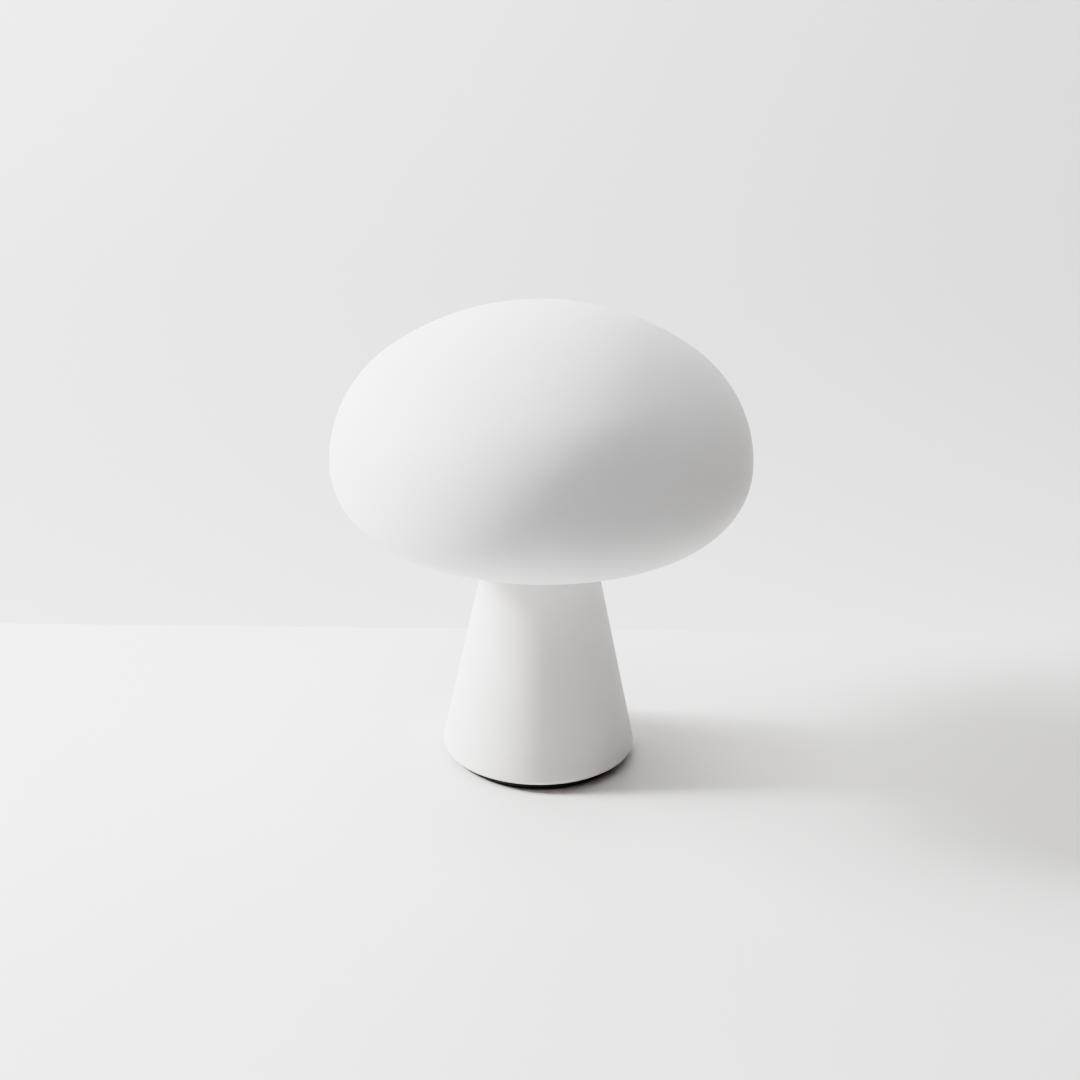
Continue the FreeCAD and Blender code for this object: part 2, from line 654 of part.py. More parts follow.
def make_terminal_block():
    """A moulded two-pole block: a body, four screw towers and through holes."""
    near = BLOCK_DISTANCE - BLOCK_DEPTH / 2
    body = Part.makeBox(
        BLOCK_LENGTH, BLOCK_DEPTH, BLOCK_HEIGHT, Vector(-BLOCK_LENGTH / 2, near, BALLAST_TOP)
    )
    upright = [e for e in body.Edges if abs(e.tangentAt(e.FirstParameter).z) > 0.9]
    body = body.makeFillet(BLOCK_CORNER_ROUND, upright)
    for x, y in clamp_screw_places():
        body = body.fuse(disc(BLOCK_TOWER_RADIUS, BALLAST_TOP, TOWER_TOP, x, y))
    for x, y in clamp_screw_places():
        hole = CLAMP_SCREW_HEAD_RADIUS + HOLE_CLEARANCE
        body = body.cut(disc(hole, POLE_LEVEL, TOWER_TOP + PAST, x, y))
    for x in pole_places():
        hole = INSERT_RADIUS + HOLE_CLEARANCE
        body = body.cut(along_y(hole, x, POLE_LEVEL, near - PAST, near + BLOCK_DEPTH + PAST))
    hole = FIXING_SCREW_RADIUS + HOLE_CLEARANCE
    body = body.cut(disc(hole, BALLAST_TOP - PAST, BLOCK_TOP + PAST, 0.0, BLOCK_DISTANCE))
    well = FIXING_SCREW_HEAD_RADIUS + HOLE_CLEARANCE
    return body.cut(
        disc(well, BLOCK_TOP - BLOCK_HEIGHT / 2, BLOCK_TOP + PAST, 0.0, BLOCK_DISTANCE)
    )


def make_terminal_inserts():
    """Brass sleeves that clamp a mains wire at the back and a lead at the front."""
    inserts = []
    near = BLOCK_DISTANCE - BLOCK_DEPTH / 2 + INSERT_SET_BACK
    far = BLOCK_DISTANCE + BLOCK_DEPTH / 2 - INSERT_SET_BACK
    for x in pole_places():
        sleeve = along_y(INSERT_RADIUS, x, POLE_LEVEL, near, far)
        sleeve = sleeve.cut(along_y(INSERT_BORE_RADIUS, x, POLE_LEVEL, near - PAST, far + PAST))
        for sx, sy in clamp_screw_places():
            if sx == x:
                hole = CLAMP_SCREW_RADIUS + THREAD_CLEARANCE
                sleeve = sleeve.cut(disc(hole, POLE_LEVEL, BLOCK_TOP, sx, sy))
        inserts.append(sleeve)
    return inserts


def make_clamp_screws():
    """Slotted screws down the towers, their tips just on the wires."""
    screws = []
    tip = POLE_LEVEL + LEAD_RADIUS + HOLE_CLEARANCE
    under_head = POLE_LEVEL + INSERT_RADIUS + HOLE_CLEARANCE
    head_top = under_head + SCREW_HEAD_THICK
    for x, y in clamp_screw_places():
        screw = disc(CLAMP_SCREW_RADIUS, tip, under_head, x, y)
        screw = screw.fuse(disc(CLAMP_SCREW_HEAD_RADIUS, under_head, head_top, x, y))
        screws.append(screw.cut(slot_across(x, y, CLAMP_SCREW_HEAD_RADIUS, head_top)))
    return screws


def make_fixing_screw():
    """The screw that holds the terminal block down on the ballast."""
    seat = BLOCK_TOP - BLOCK_HEIGHT / 2
    foot = BALLAST_TOP - FIXING_SCREW_BITE
    screw = disc(FIXING_SCREW_RADIUS, foot, seat, 0.0, BLOCK_DISTANCE)
    head_top = seat + SCREW_HEAD_THICK
    screw = screw.fuse(disc(FIXING_SCREW_HEAD_RADIUS, seat, head_top, 0.0, BLOCK_DISTANCE))
    return screw.cut(slot_across(0.0, BLOCK_DISTANCE, FIXING_SCREW_HEAD_RADIUS, head_top))


# ---------------------------------------------------------------- inner leads
def tube_along(points, radius):
    """A round wire along straight runs joined by tangent arcs."""
    edges = []
    start = points[0]
    for i in range(1, len(points) - 1):
        before = points[i] - points[i - 1]
        after = points[i + 1] - points[i]
        turn = before.getAngle(after)
        reach = LEAD_BEND_SHARE * min(before.Length, after.Length)
        into = points[i] - before.normalize() * reach
        out = points[i] + after.normalize() * reach
        bend = reach / math.tan(turn / 2)
        inward = (after - before).normalize()
        centre_gap = bend / math.cos(turn / 2)
        middle = points[i] + inward * (centre_gap - bend)
        edges.append(Part.LineSegment(start, into).toShape())
        edges.append(Part.Arc(into, middle, out).toShape())
        start = out
    edges.append(Part.LineSegment(start, points[-1]).toShape())
    path = Part.Wire(edges)
    first = (points[1] - points[0]).normalize()
    section = Part.Wire(Part.makeCircle(radius, points[0], first))
    return path.makePipeShell([section], True, False)


def lead_route(side):
    """From the terminal block, in at the tube's slot, up the tube, to the holder."""
    pole = side * POLE_SPACING / 2
    pair = side * LEAD_PAIR_SPACING / 2
    terminal = side * LEAD_TERMINAL_SPACING / 2
    near = BLOCK_DISTANCE - BLOCK_DEPTH / 2
    return [
        Vector(pole, near + LEAD_IN_POLE, POLE_LEVEL),
        Vector(pole, near - LEAD_OUT_OF_POLE, POLE_LEVEL),
        Vector(pair, TUBE_RADIUS + LEAD_BEFORE_TUBE, LEAD_SLOT_MIDDLE - LEAD_BELOW_SLOT),
        Vector(pair, 0.0, LEAD_SLOT_MIDDLE + LEAD_ABOVE_SLOT),
        Vector(pair, 0.0, TUBE_TOP + LEAD_ABOVE_TUBE),
        Vector(terminal, 0.0, POST_FOOT - LEAD_BELOW_POST),
        Vector(terminal, 0.0, POST_FOOT),
    ]


def make_lead(side):
    return tube_along(lead_route(side), LEAD_RADIUS)


# ---------------------------------------------------------------- gallery
def make_gallery():
    """The plate on the cone: collar for the shade above, register in the cone below."""
    plate = ring(HOLDER_RADIUS + HOLDER_FIT, GALLERY_RADIUS, GALLERY_FOOT, GALLERY_TOP)
    collar = ring(
        COLLAR_RADIUS - COLLAR_WALL, COLLAR_RADIUS, GALLERY_TOP, GALLERY_TOP + COLLAR_HEIGHT
    )
    register = ring(
        REGISTER_RADIUS - REGISTER_WALL,
        REGISTER_RADIUS,
        GALLERY_FOOT - REGISTER_DEPTH,
        GALLERY_FOOT,
    )
    gallery = plate.fuse([collar, register])
    vent_room = COLLAR_RADIUS - COLLAR_WALL - RING_RADIUS
    vent = disc(
        VENT_SHARE * vent_room / 2,
        GALLERY_FOOT - PAST,
        GALLERY_TOP + PAST,
        RING_RADIUS + vent_room / 2,
    )
    gallery = gallery.cut(Part.makeCompound(around(vent, VENT_COUNT, 180 / VENT_COUNT)))
    width = SPRING_WIDTH + 2 * WINDOW_CLEARANCE
    window = Part.makeBox(
        4 * COLLAR_WALL,
        width,
        WINDOW_HEIGHT,
        Vector(COLLAR_RADIUS - 2 * COLLAR_WALL, -width / 2, GALLERY_TOP + WINDOW_ABOVE_PLATE),
    )
    gallery = gallery.cut(Part.makeCompound(around(window, SPRING_COUNT, 90)))
    hole = rivet_rod(RIVET_RADIUS + THREAD_CLEARANCE, PAST, PAST)
    gallery = gallery.cut(Part.makeCompound(around(hole, SPRING_COUNT, 90)))
    return gallery.removeSplitter()


def rivet_height():
    """Half way between the window's top and the collar's rim."""
    window_top = GALLERY_TOP + WINDOW_ABOVE_PLATE + WINDOW_HEIGHT
    return (window_top + GALLERY_TOP + COLLAR_HEIGHT) / 2


def rivet_rod(radius, inside, outside):
    """A rod through the collar's wall on the +X side, past its faces."""
    start = COLLAR_RADIUS - COLLAR_WALL - inside
    length = COLLAR_WALL + inside + outside
    return Part.makeCylinder(radius, length, Vector(start, 0, rivet_height()), RIGHT)


def make_gallery_gasket():
    """A silicone washer on the cone's cut rim."""
    bore = REGISTER_RADIUS + GALLERY_GASKET_CLEARANCE
    return ring(bore, GALLERY_RADIUS, CONE_TOP, GALLERY_FOOT)


def make_seat_ring():
    """A silicone washer on the gallery, under the shade's ground rim."""
    inner = SHADE_FLAT_RADIUS - SEAT_RING_WIDTH
    return ring(inner, SHADE_FLAT_RADIUS, GALLERY_TOP, GALLERY_TOP + SEAT_RING_THICK)


def make_springs():
    """Bent leaf springs, riveted inside the collar and bowed out of its windows."""
    back = COLLAR_RADIUS - COLLAR_WALL - THREAD_CLEARANCE
    front = back - SPRING_THICK
    bow = SHADE_HOLE_RADIUS - SPRING_TO_HOLE
    top = GALLERY_TOP + COLLAR_HEIGHT - SPRING_BELOW_RIM
    knee = GALLERY_TOP + WINDOW_ABOVE_PLATE + WINDOW_HEIGHT - WINDOW_CLEARANCE
    foot = GALLERY_TOP + WINDOW_ABOVE_PLATE + WINDOW_CLEARANCE
    middle = (knee + foot) / 2
    outer = [(back, top), (back, knee), (bow, middle), (back, foot)]
    inner = [(front, foot), (bow - SPRING_THICK, middle), (front, knee), (front, top)]
    edges = [
        line(outer[0], outer[1]),
        arc(outer[1], outer[2], outer[3]),
        line(outer[3], inner[0]),
        arc(inner[0], inner[1], inner[2]),
        line(inner[2], inner[3]),
        line(inner[3], outer[0]),
    ]
    face = Part.Face(Part.Wire(edges))
    face.translate(Vector(0, -SPRING_WIDTH / 2, 0))
    spring = face.extrude(Vector(0, SPRING_WIDTH, 0))
    spring = spring.cut(rivet_rod(RIVET_RADIUS + THREAD_CLEARANCE, PAST, PAST))
    room = disc(COLLAR_RADIUS - COLLAR_WALL - TOUCH, knee, top + PAST)
    upper = spring.common(room)
    lower = spring.common(disc(SHADE_HOLE_RADIUS, foot - PAST, knee))
    return around(upper.fuse(lower).removeSplitter(), SPRING_COUNT, 90)


def make_rivets():
    """One rivet to each spring, headed inside and outside the collar."""
    inside = THREAD_CLEARANCE + SPRING_THICK + HOLE_CLEARANCE
    rivet = rivet_rod(RIVET_RADIUS, inside + RIVET_HEAD_THICK, TOUCH)
    start = COLLAR_RADIUS - COLLAR_WALL - inside - RIVET_HEAD_THICK
    head = Part.makeCylinder(
        RIVET_HEAD_RADIUS, RIVET_HEAD_THICK, Vector(start, 0, rivet_height()), RIGHT
    )
    return around(rivet.fuse(head).removeSplitter(), SPRING_COUNT, 90)


# ---------------------------------------------------------------- lampholder
def make_holder_cap():
    """The domed entry: a tapped boss on the tube and a lip inside the skirt."""
    shoulder = HOLDER_FOOT + HOLDER_BOSS_LENGTH + HOLDER_SHOULDER_RISE
    lip = HOLDER_BORE - HOLDER_FIT
    lip_top = HOLDER_JOINT + HOLDER_JOINT_LIP - HOLDER_FIT
    cavity = lip - HOLDER_CAP_WALL
    cavity_foot = shoulder + HOLDER_CAP_WALL
    bore = TUBE_RADIUS + THREAD_CLEARANCE
    boss_top = HOLDER_FOOT + HOLDER_BOSS_STRAIGHT * HOLDER_BOSS_LENGTH
    bow = HOLDER_SHOULDER_BOW
    section = [
        line((bore, HOLDER_FOOT), (HOLDER_BOSS_RADIUS, HOLDER_FOOT)),
        line((HOLDER_BOSS_RADIUS, HOLDER_FOOT), (HOLDER_BOSS_RADIUS, boss_top)),
        arc(
            (HOLDER_BOSS_RADIUS, boss_top),
            (
                HOLDER_RADIUS - bow * (HOLDER_RADIUS - HOLDER_BOSS_RADIUS),
                boss_top + bow * (shoulder - boss_top),
            ),
            (HOLDER_RADIUS, shoulder),
        ),
        line((HOLDER_RADIUS, shoulder), (HOLDER_RADIUS, HOLDER_JOINT)),
        line((HOLDER_RADIUS, HOLDER_JOINT), (lip, HOLDER_JOINT)),
        line((lip, HOLDER_JOINT), (lip, lip_top)),
        line((lip, lip_top), (cavity, lip_top)),
        line((cavity, lip_top), (cavity, cavity_foot)),
        line((cavity, cavity_foot), (bore, TUBE_TOP)),
        line((bore, TUBE_TOP), (bore, HOLDER_FOOT)),
    ]
    cap = turned(section)
    hole = GRUB_RADIUS + THREAD_CLEARANCE
    return cap.cut(grub_rod(hole, TUBE_RADIUS, HOLDER_RADIUS))


def grub_height():
    """Half way up the straight part of the boss."""
    return HOLDER_FOOT + GRUB_LEVEL * HOLDER_BOSS_LENGTH


def grub_rod(radius, start, end):
    """A rod out through the boss on the -Y side."""
    base = Vector(0, -start, grub_height())
    return Part.makeCylinder(radius, end - start, base, -BACK)


def make_grub_screw():
    """The set screw that locks the holder on the tube."""
    face = HOLDER_BOSS_RADIUS - GRUB_BELOW_FACE
    screw = grub_rod(GRUB_RADIUS, TUBE_RADIUS + TOUCH, face)
    socket = hexagon(
        GRUB_SOCKET_ACROSS_FLATS,
        0.0,
        GRUB_SOCKET_DEPTH,
        BACK,
        Vector(0, -face, grub_height()),
    )
    return screw.cut(socket)


def make_holder_skirt():
    """The outer shell, with the flange that carries the gallery and a mouth lip."""
    skirt = ring(HOLDER_BORE, HOLDER_RADIUS, HOLDER_JOINT, HOLDER_TOP)
    flange = ring(
        HOLDER_BORE, HOLDER_FLANGE_RADIUS, GALLERY_FOOT - HOLDER_FLANGE_THICK, GALLERY_FOOT
    )
    lip = ring(HOLDER_LIP_HOLE_RADIUS, HOLDER_RADIUS, CORE_TOP, HOLDER_TOP)
    return skirt.fuse([flange, lip]).removeSplitter()


def make_holder_ring():
    """The ring nut that clamps the gallery plate on the skirt's flange."""
    top = GALLERY_TOP + RING_HEIGHT
    nut = ring(HOLDER_RADIUS + 0.5 * HOLDER_FIT, RING_RADIUS, GALLERY_TOP, top)
    grip = disc(RING_GRIP_RADIUS, GALLERY_TOP - PAST, top + PAST, RING_RADIUS)
    return nut.cut(Part.makeCompound(around(grip, RING_GRIP_COUNT)))


def make_holder_core():
    """Porcelain core: a deep well for the bulb's cap and a wiring space below."""
    core = disc(CORE_RADIUS, CORE_FOOT, CORE_TOP)
    core = core.cut(disc(CORE_WELL_RADIUS, CORE_WELL_FLOOR, CORE_TOP + PAST))
    core = core.cut(disc(CORE_RADIUS - CORE_SKIRT_WALL, CORE_FOOT - PAST, CORE_FLOOR_FOOT))
    hole = CONTACT_RIVET_RADIUS + THREAD_CLEARANCE
    for x in (leaf_rivet_place(), shell_rivet_place()):
        core = core.cut(disc(hole, CORE_FLOOR_FOOT - PAST, CORE_WELL_FLOOR + PAST, x))
    return core


def leaf_rivet_place():
    """How far along X the centre contact's rivet stands, over the live post."""
    return -LEAD_TERMINAL_SPACING / 2


def shell_rivet_place():
    """How far along X the screw shell's rivet stands, over the neutral post."""
    return SCREW_SHELL_RADIUS - SHELL_FOOT_LENGTH / 2


def contact_rivet(x):
    """A rivet through the core's floor, down to the terminal post below it."""
    head = CORE_WELL_FLOOR + CONTACT_THICK
    rivet = disc(CONTACT_RIVET_RADIUS, CORE_FLOOR_FOOT, head, x)
    return rivet.fuse(disc(CONTACT_RIVET_HEAD_RADIUS, head, head + CONTACT_RIVET_HEAD_THICK, x))


def make_screw_shell():
    """The brass thread sleeve that takes the bulb's cap, riveted down by its tongue."""
    outer = SCREW_SHELL_RADIUS + SCREW_SHELL_WALL
    top = CORE_TOP - SCREW_SHELL_BELOW_TOP
    shell = ring(SCREW_SHELL_RADIUS, outer, top - SCREW_SHELL_LENGTH, top)
    tongue = ring(SCREW_SHELL_RADIUS, outer, CORE_WELL_FLOOR, top)
    foot = disc(outer, CORE_WELL_FLOOR, CORE_WELL_FLOOR + CONTACT_THICK)
    keep = Part.makeBox(
        outer,
        SHELL_TONGUE_WIDTH,
        top - CORE_WELL_FLOOR,
        Vector(SCREW_SHELL_RADIUS - SHELL_FOOT_LENGTH, -SHELL_TONGUE_WIDTH / 2, CORE_WELL_FLOOR),
    )
    shell = shell.fuse([tongue.common(keep), foot.common(keep)])
    return shell.fuse(contact_rivet(shell_rivet_place())).removeSplitter()


def make_centre_contact():
    """A sprung brass leaf: riveted foot, ramp, and the pad under the bulb's button."""
    rivet = leaf_rivet_place()
    low = CORE_WELL_FLOOR
    high = CORE_WELL_FLOOR + CONTACT_RISE
    start = rivet - CONTACT_FOOT_LENGTH / 2
    knee = rivet + CONTACT_FOOT_LENGTH / 2
    pad = -CONTACT_PAD_LENGTH / 2
    end = CONTACT_PAD_LENGTH / 2
    bend = CONTACT_THICK * CONTACT_BEND_SHARE
    section = [
        (start, low),
        (knee, low),
        (pad, high - CONTACT_THICK),
        (end, high - CONTACT_THICK),
        (end, high),
        (pad - bend, high),
        (knee - bend, low + CONTACT_THICK),
        (start, low + CONTACT_THICK),
    ]
    face = Part.Face(Part.Wire(polygon(section)))
    face.translate(Vector(0, -CONTACT_WIDTH / 2, 0))
    leaf = face.extrude(Vector(0, CONTACT_WIDTH, 0))
    leaf = leaf.common(disc(CORE_WELL_RADIUS - HOLE_CLEARANCE, low, high + PAST))
    return leaf.fuse(contact_rivet(rivet)).removeSplitter()


def post_places():
    return (-LEAD_TERMINAL_SPACING / 2, LEAD_TERMINAL_SPACING / 2)


def make_posts():
    """Brass terminal posts under the core's floor, where the two leads end."""
    posts = []
    for x in post_places():
        post = Part.makeBox(
            POST_SIZE,
            POST_SIZE,
            POST_HEIGHT,
            Vector(x - POST_SIZE / 2, -POST_SIZE / 2, POST_FOOT),
        )
        hole = POST_SCREW_RADIUS + THREAD_CLEARANCE
        middle = POST_FOOT + POST_HEIGHT / 2
        posts.append(post.cut(along_y(hole, x, middle, -POST_SIZE, 0.0)))
    return posts


def make_post_screws():
    """The screws that clamp the leads in the posts."""
    screws = []
    middle = POST_FOOT + POST_HEIGHT / 2
    face = -POST_SIZE / 2
    for x in post_places():
        screw = along_y(POST_SCREW_RADIUS, x, middle, face, -HOLE_CLEARANCE)
        head = face - POST_SCREW_HEAD_THICK
        screw = screw.fuse(along_y(POST_SCREW_HEAD_RADIUS, x, middle, head, face))
        slot = Part.makeBox(
            SCREW_SLOT_WIDTH,
            SCREW_SLOT_DEPTH,
            2 * POST_SCREW_HEAD_RADIUS,
            Vector(x - SCREW_SLOT_WIDTH / 2, head, middle - POST_SCREW_HEAD_RADIUS),
        )
        screws.append(screw.cut(slot))
    return screws


# ---------------------------------------------------------------- bulb
def make_bulb_globe():
    """The hollow opal globe, cut off where it enters the collar."""
    outer = Part.makeSphere(BULB_RADIUS, Vector(0, 0, BULB_CENTRE))
    inner = Part.makeSphere(BULB_RADIUS - BULB_WALL, Vector(0, 0, BULB_CENTRE))
    below = disc(BULB_RADIUS + PAST, BULB_CENTRE - 2 * BULB_RADIUS, BULB_NECK)
    return outer.cut(inner).cut(below)


def make_bulb_collar():
    """The moulded housing between the globe and the cap, with a ledge for the board."""
    foot = BULB_TIP + BULB_COLLAR_FOOT
    wall = BULB_COLLAR_WALL
    rim = BULB_NECK_RADIUS + BULB_COLLAR_PROUD
    inner_rim = LED_BOARD_RADIUS - LED_BOARD_LEDGE
    bore = BULB_CAP_RADIUS - BULB_CAP_WALL
    inner_foot = BULB_COLLAR_FOOT_RADIUS - wall
    middle = (foot + BULB_NECK) / 2
    bow = BULB_COLLAR_FOOT_RADIUS + BULB_COLLAR_BOW * (rim - BULB_COLLAR_FOOT_RADIUS)
    section = [
        line((bore, foot), (BULB_COLLAR_FOOT_RADIUS, foot)),
        arc((BULB_COLLAR_FOOT_RADIUS, foot), (bow, middle), (rim, BULB_NECK)),
        line((rim, BULB_NECK), (inner_rim, BULB_NECK)),
        arc((inner_rim, BULB_NECK), (bow - wall, middle + wall / 2), (inner_foot, foot + wall)),
        line((inner_foot, foot + wall), (bore, foot + wall)),
        line((bore, foot + wall), (bore, foot)),
    ]
    return turned(section)


def make_bulb_cap():
    """The E14 shell of the cap, with the small flange at its top."""
    foot = BULB_TIP + BULB_CAP_BOTTOM
    top = BULB_TIP + BULB_CAP_TOP
    collar_foot = BULB_TIP + BULB_COLLAR_FOOT
    shell = ring(BULB_CAP_RADIUS - BULB_CAP_WALL, BULB_CAP_RADIUS, foot, top)
    brim = BULB_CAP_RADIUS + BULB_CAP_FLANGE
    flange = ring(BULB_CAP_RADIUS - BULB_CAP_WALL, brim, top, collar_foot)
    return shell.fuse(flange).removeSplitter()


def make_bulb_insulator():
    """The black glass cone between the cap's shell and its button."""
    foot = BULB_TIP + BULB_BUTTON_THICK
    top = BULB_TIP + BULB_CAP_BOTTOM
    wide = BULB_CAP_RADIUS - BULB_CAP_WALL
    narrow = BULB_BUTTON_RADIUS + BULB_INSULATOR_PROUD
    cone = Part.makeCone(narrow, wide, top - foot, Vector(0, 0, foot))
    plug = disc(wide - HOLE_CLEARANCE, top, top + BULB_INSULATOR_IN_CAP)
    return cone.fuse(plug).removeSplitter()


def make_bulb_button():
    """The solder button, with its edge rounded."""
    button = disc(BULB_BUTTON_RADIUS, BULB_TIP, BULB_TIP + BULB_BUTTON_THICK)
    return round_edges_at(button, BULB_BUTTON_RADIUS, BULB_TIP, BULB_BUTTON_ROUND)


def make_led_board():
    """The aluminium board, seated on the collar's rim inside the globe's mouth."""
    return disc(LED_BOARD_RADIUS, BULB_NECK, BULB_NECK + LED_BOARD_THICK)


def make_leds():
    """The diodes, in a ring on the board."""
    foot = BULB_NECK + LED_BOARD_THICK
    half = LED_SIZE / 2
    diode = Part.makeBox(LED_SIZE, LED_SIZE, LED_THICK, Vector(LED_CIRCLE - half, -half, foot))
    return around(diode, LED_COUNT)


def make_driver():
    """The upright driver board in the collar, with its capacitor."""
    foot = BULB_NECK - DRIVER_LEG_GAP - DRIVER_LENGTH
    board = Part.makeBox(
        DRIVER_WIDTH,
        DRIVER_THICK,
        DRIVER_LENGTH,
        Vector(-DRIVER_WIDTH / 2, -DRIVER_THICK / 2, foot),
    )
    can = Part.makeCylinder(
        DRIVER_CAN_RADIUS,
        DRIVER_CAN_LENGTH,
        Vector(0, DRIVER_CAN_RADIUS + DRIVER_CAN_STAND, foot + DRIVER_LENGTH - DRIVER_CAN_LENGTH),
    )
    return board.fuse(can).removeSplitter()


# ---------------------------------------------------------------- write the sub-parts
save("shade", make_shade())
save("shade_seat_ring", make_seat_ring())
save("shade_gallery", make_gallery())
save("shade_springs", make_springs())
save("spring_rivets", make_rivets())
save("gallery_gasket", make_gallery_gasket())

save("base_cone", make_base_cone())
save("cord_bush", make_cord_bush())
save("rim_gasket", make_rim_gasket())
save("base_plate", make_base_plate())
save("foot_pad", make_foot_pad())
save("ballast_ring", make_ballast())
save("ballast_screws", make_ballast_screws())

save("threaded_tube", make_tube())
save("lower_washer", make_washer(NUT_RECESS_TOP - WASHER_THICK))
save("lower_nut", make_nut(NUT_UNDER))
save("upper_washer", make_washer(PLATE_BOSS_TOP))
save("upper_nut", make_nut(PLATE_BOSS_TOP + WASHER_THICK))

save("terminal_block", make_terminal_block())
save("terminal_inserts", make_terminal_inserts())
save("terminal_clamp_screws", make_clamp_screws())
save("terminal_fixing_screw", make_fixing_screw())
save("lead_live", make_lead(-1))
save("lead_neutral", make_lead(1))

save("holder_cap", make_holder_cap())
save("holder_grub_screw", make_grub_screw())
save("holder_skirt", make_holder_skirt())
save("holder_ring", make_holder_ring())
save("holder_core", make_holder_core())
save("holder_screw_shell", make_screw_shell())
save("holder_centre_contact", make_centre_contact())
save("holder_posts", make_posts())
save("holder_post_screws", make_post_screws())

save("bulb_globe", make_bulb_globe())
save("bulb_collar", make_bulb_collar())
save("bulb_cap", make_bulb_cap())
save("bulb_insulator", make_bulb_insulator())
save("bulb_button", make_bulb_button())
save("bulb_led_board", make_led_board())
save("bulb_leds", make_leds())
save("bulb_driver", make_driver())
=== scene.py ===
import math

import bmesh
import bpy
from mathutils import Matrix, Vector


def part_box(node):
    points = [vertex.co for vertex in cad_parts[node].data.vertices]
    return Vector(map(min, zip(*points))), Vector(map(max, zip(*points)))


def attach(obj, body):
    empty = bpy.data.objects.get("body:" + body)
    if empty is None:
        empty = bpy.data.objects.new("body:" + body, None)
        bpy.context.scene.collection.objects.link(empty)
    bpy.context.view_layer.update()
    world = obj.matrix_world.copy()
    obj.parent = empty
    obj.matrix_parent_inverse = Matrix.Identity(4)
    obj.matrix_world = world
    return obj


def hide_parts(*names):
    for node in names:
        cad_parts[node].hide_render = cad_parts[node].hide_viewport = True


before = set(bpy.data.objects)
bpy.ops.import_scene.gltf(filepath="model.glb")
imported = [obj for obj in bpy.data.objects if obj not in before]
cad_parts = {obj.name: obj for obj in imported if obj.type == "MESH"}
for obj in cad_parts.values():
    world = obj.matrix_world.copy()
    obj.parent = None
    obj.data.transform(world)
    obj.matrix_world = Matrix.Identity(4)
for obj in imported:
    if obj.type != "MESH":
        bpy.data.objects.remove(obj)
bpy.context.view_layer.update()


# ------------------------------------------------------------------ foot pad
# A die-cut ring of black closed-cell foam, glued under the steel plate so that the
# lamp does not slide. The punch leaves its edges soft, and the cut cells show as pits.
MM = 0.001


class Value:
    """A number on a surface. An expression on values adds the nodes that work it out."""

    def __init__(self, finish, socket):
        self.finish = finish
        self.socket = socket

    def maths(self, operation, a, b):
        return self.finish.node("ShaderNodeMath", {"operation": operation}, {0: a, 1: b})

    def __add__(self, other):
        return self.maths("ADD", self, other)

    def __mul__(self, other):
        return self.maths("MULTIPLY", self, other)

    __radd__ = __add__
    __rmul__ = __mul__


class Finish:
    """A material being made, with one surface shader whose constants are set here."""

    def __init__(self, name, **constants):
        self.material = bpy.data.materials.new(name)
        self.material.use_nodes = True
        self.tree = self.material.node_tree
        self.tree.nodes.clear()
        self.output = self.tree.nodes.new("ShaderNodeOutputMaterial")
        self.shader = self.tree.nodes.new("ShaderNodeBsdfPrincipled")
        self.tree.links.new(self.shader.outputs[0], self.output.inputs[0])
        for socket, value in constants.items():
            self.shader.inputs[socket.replace("_", " ")].default_value = value

    def fill(self, socket, value):
        """Puts a number, a colour or a link into a socket."""
        if isinstance(value, Value):
            self.tree.links.new(value.socket, socket)
        elif isinstance(value, tuple) and len(value) == 3 and socket.type == "RGBA":
            socket.default_value = (*value, 1.0)
        else:
            socket.default_value = value

    def node(self, kind, settings=None, sockets=None, result=0):
        """Any node: its settings first, then the values or links of its sockets."""
        node = self.tree.nodes.new(kind)
        for name, setting in (settings or {}).items():
            if name == "stops":
                self.set_stops(node.color_ramp.elements, setting)
            else:
                setattr(node, name, setting)
        for name, value in (sockets or {}).items():
            self.fill(node.inputs[name], value)
        return Value(self, node.outputs[result])

    def set_stops(self, stops, setting):
        while len(stops) < len(setting):
            stops.new(1.0)
        for stop, (place, shade) in zip(stops, setting):
            stop.position = place
            stop.color = (shade, shade, shade, 1.0)

    def place(self):
        """Where a point lies on the piece, in metres from the lamp's foot."""
        return self.node("ShaderNodeTexCoord", result="Object")

    def noise(self, grain, detail=2.0, roughness=0.5):
        """Soft cloudy variation about 0.5, with patches of one grain, in metres."""
        return self.node(
            "ShaderNodeTexNoise",
            {"noise_dimensions": "3D"},
            {
                "Vector": self.place(),
                "Scale": 1.0 / grain,
                "Detail": detail,
                "Roughness": roughness,
            },
        )

    def cells(self, grain):
        """Distance to the nearest of scattered points, one grain apart."""
        return self.node(
            "ShaderNodeTexVoronoi",
            {"feature": "F1"},
            {"Vector": self.place(), "Scale": 1.0 / grain},
        )

    def ramp(self, value, *stops):
        """A grey for each height of a value, from (height, grey) stops."""
        return self.node("ShaderNodeValToRGB", {"stops": stops}, {"Fac": value})

    def mix(self, share, a, b):
        """Colour a, giving way to colour b by a share."""
        return self.node("ShaderNodeMix", {"data_type": "RGBA"}, {0: share, 6: a, 7: b}, 2)

    def colour(self, value):
        self.fill(self.shader.inputs["Base Color"], value)

    def roughness(self, value):
        self.fill(self.shader.inputs["Roughness"], value)

    def relief(self, height, depth):
        """Raises the surface by a value times a depth, in metres."""
        normal = self.node("ShaderNodeBump", {}, {"Height": height, "Distance": depth})
        self.fill(self.shader.inputs["Normal"], normal)


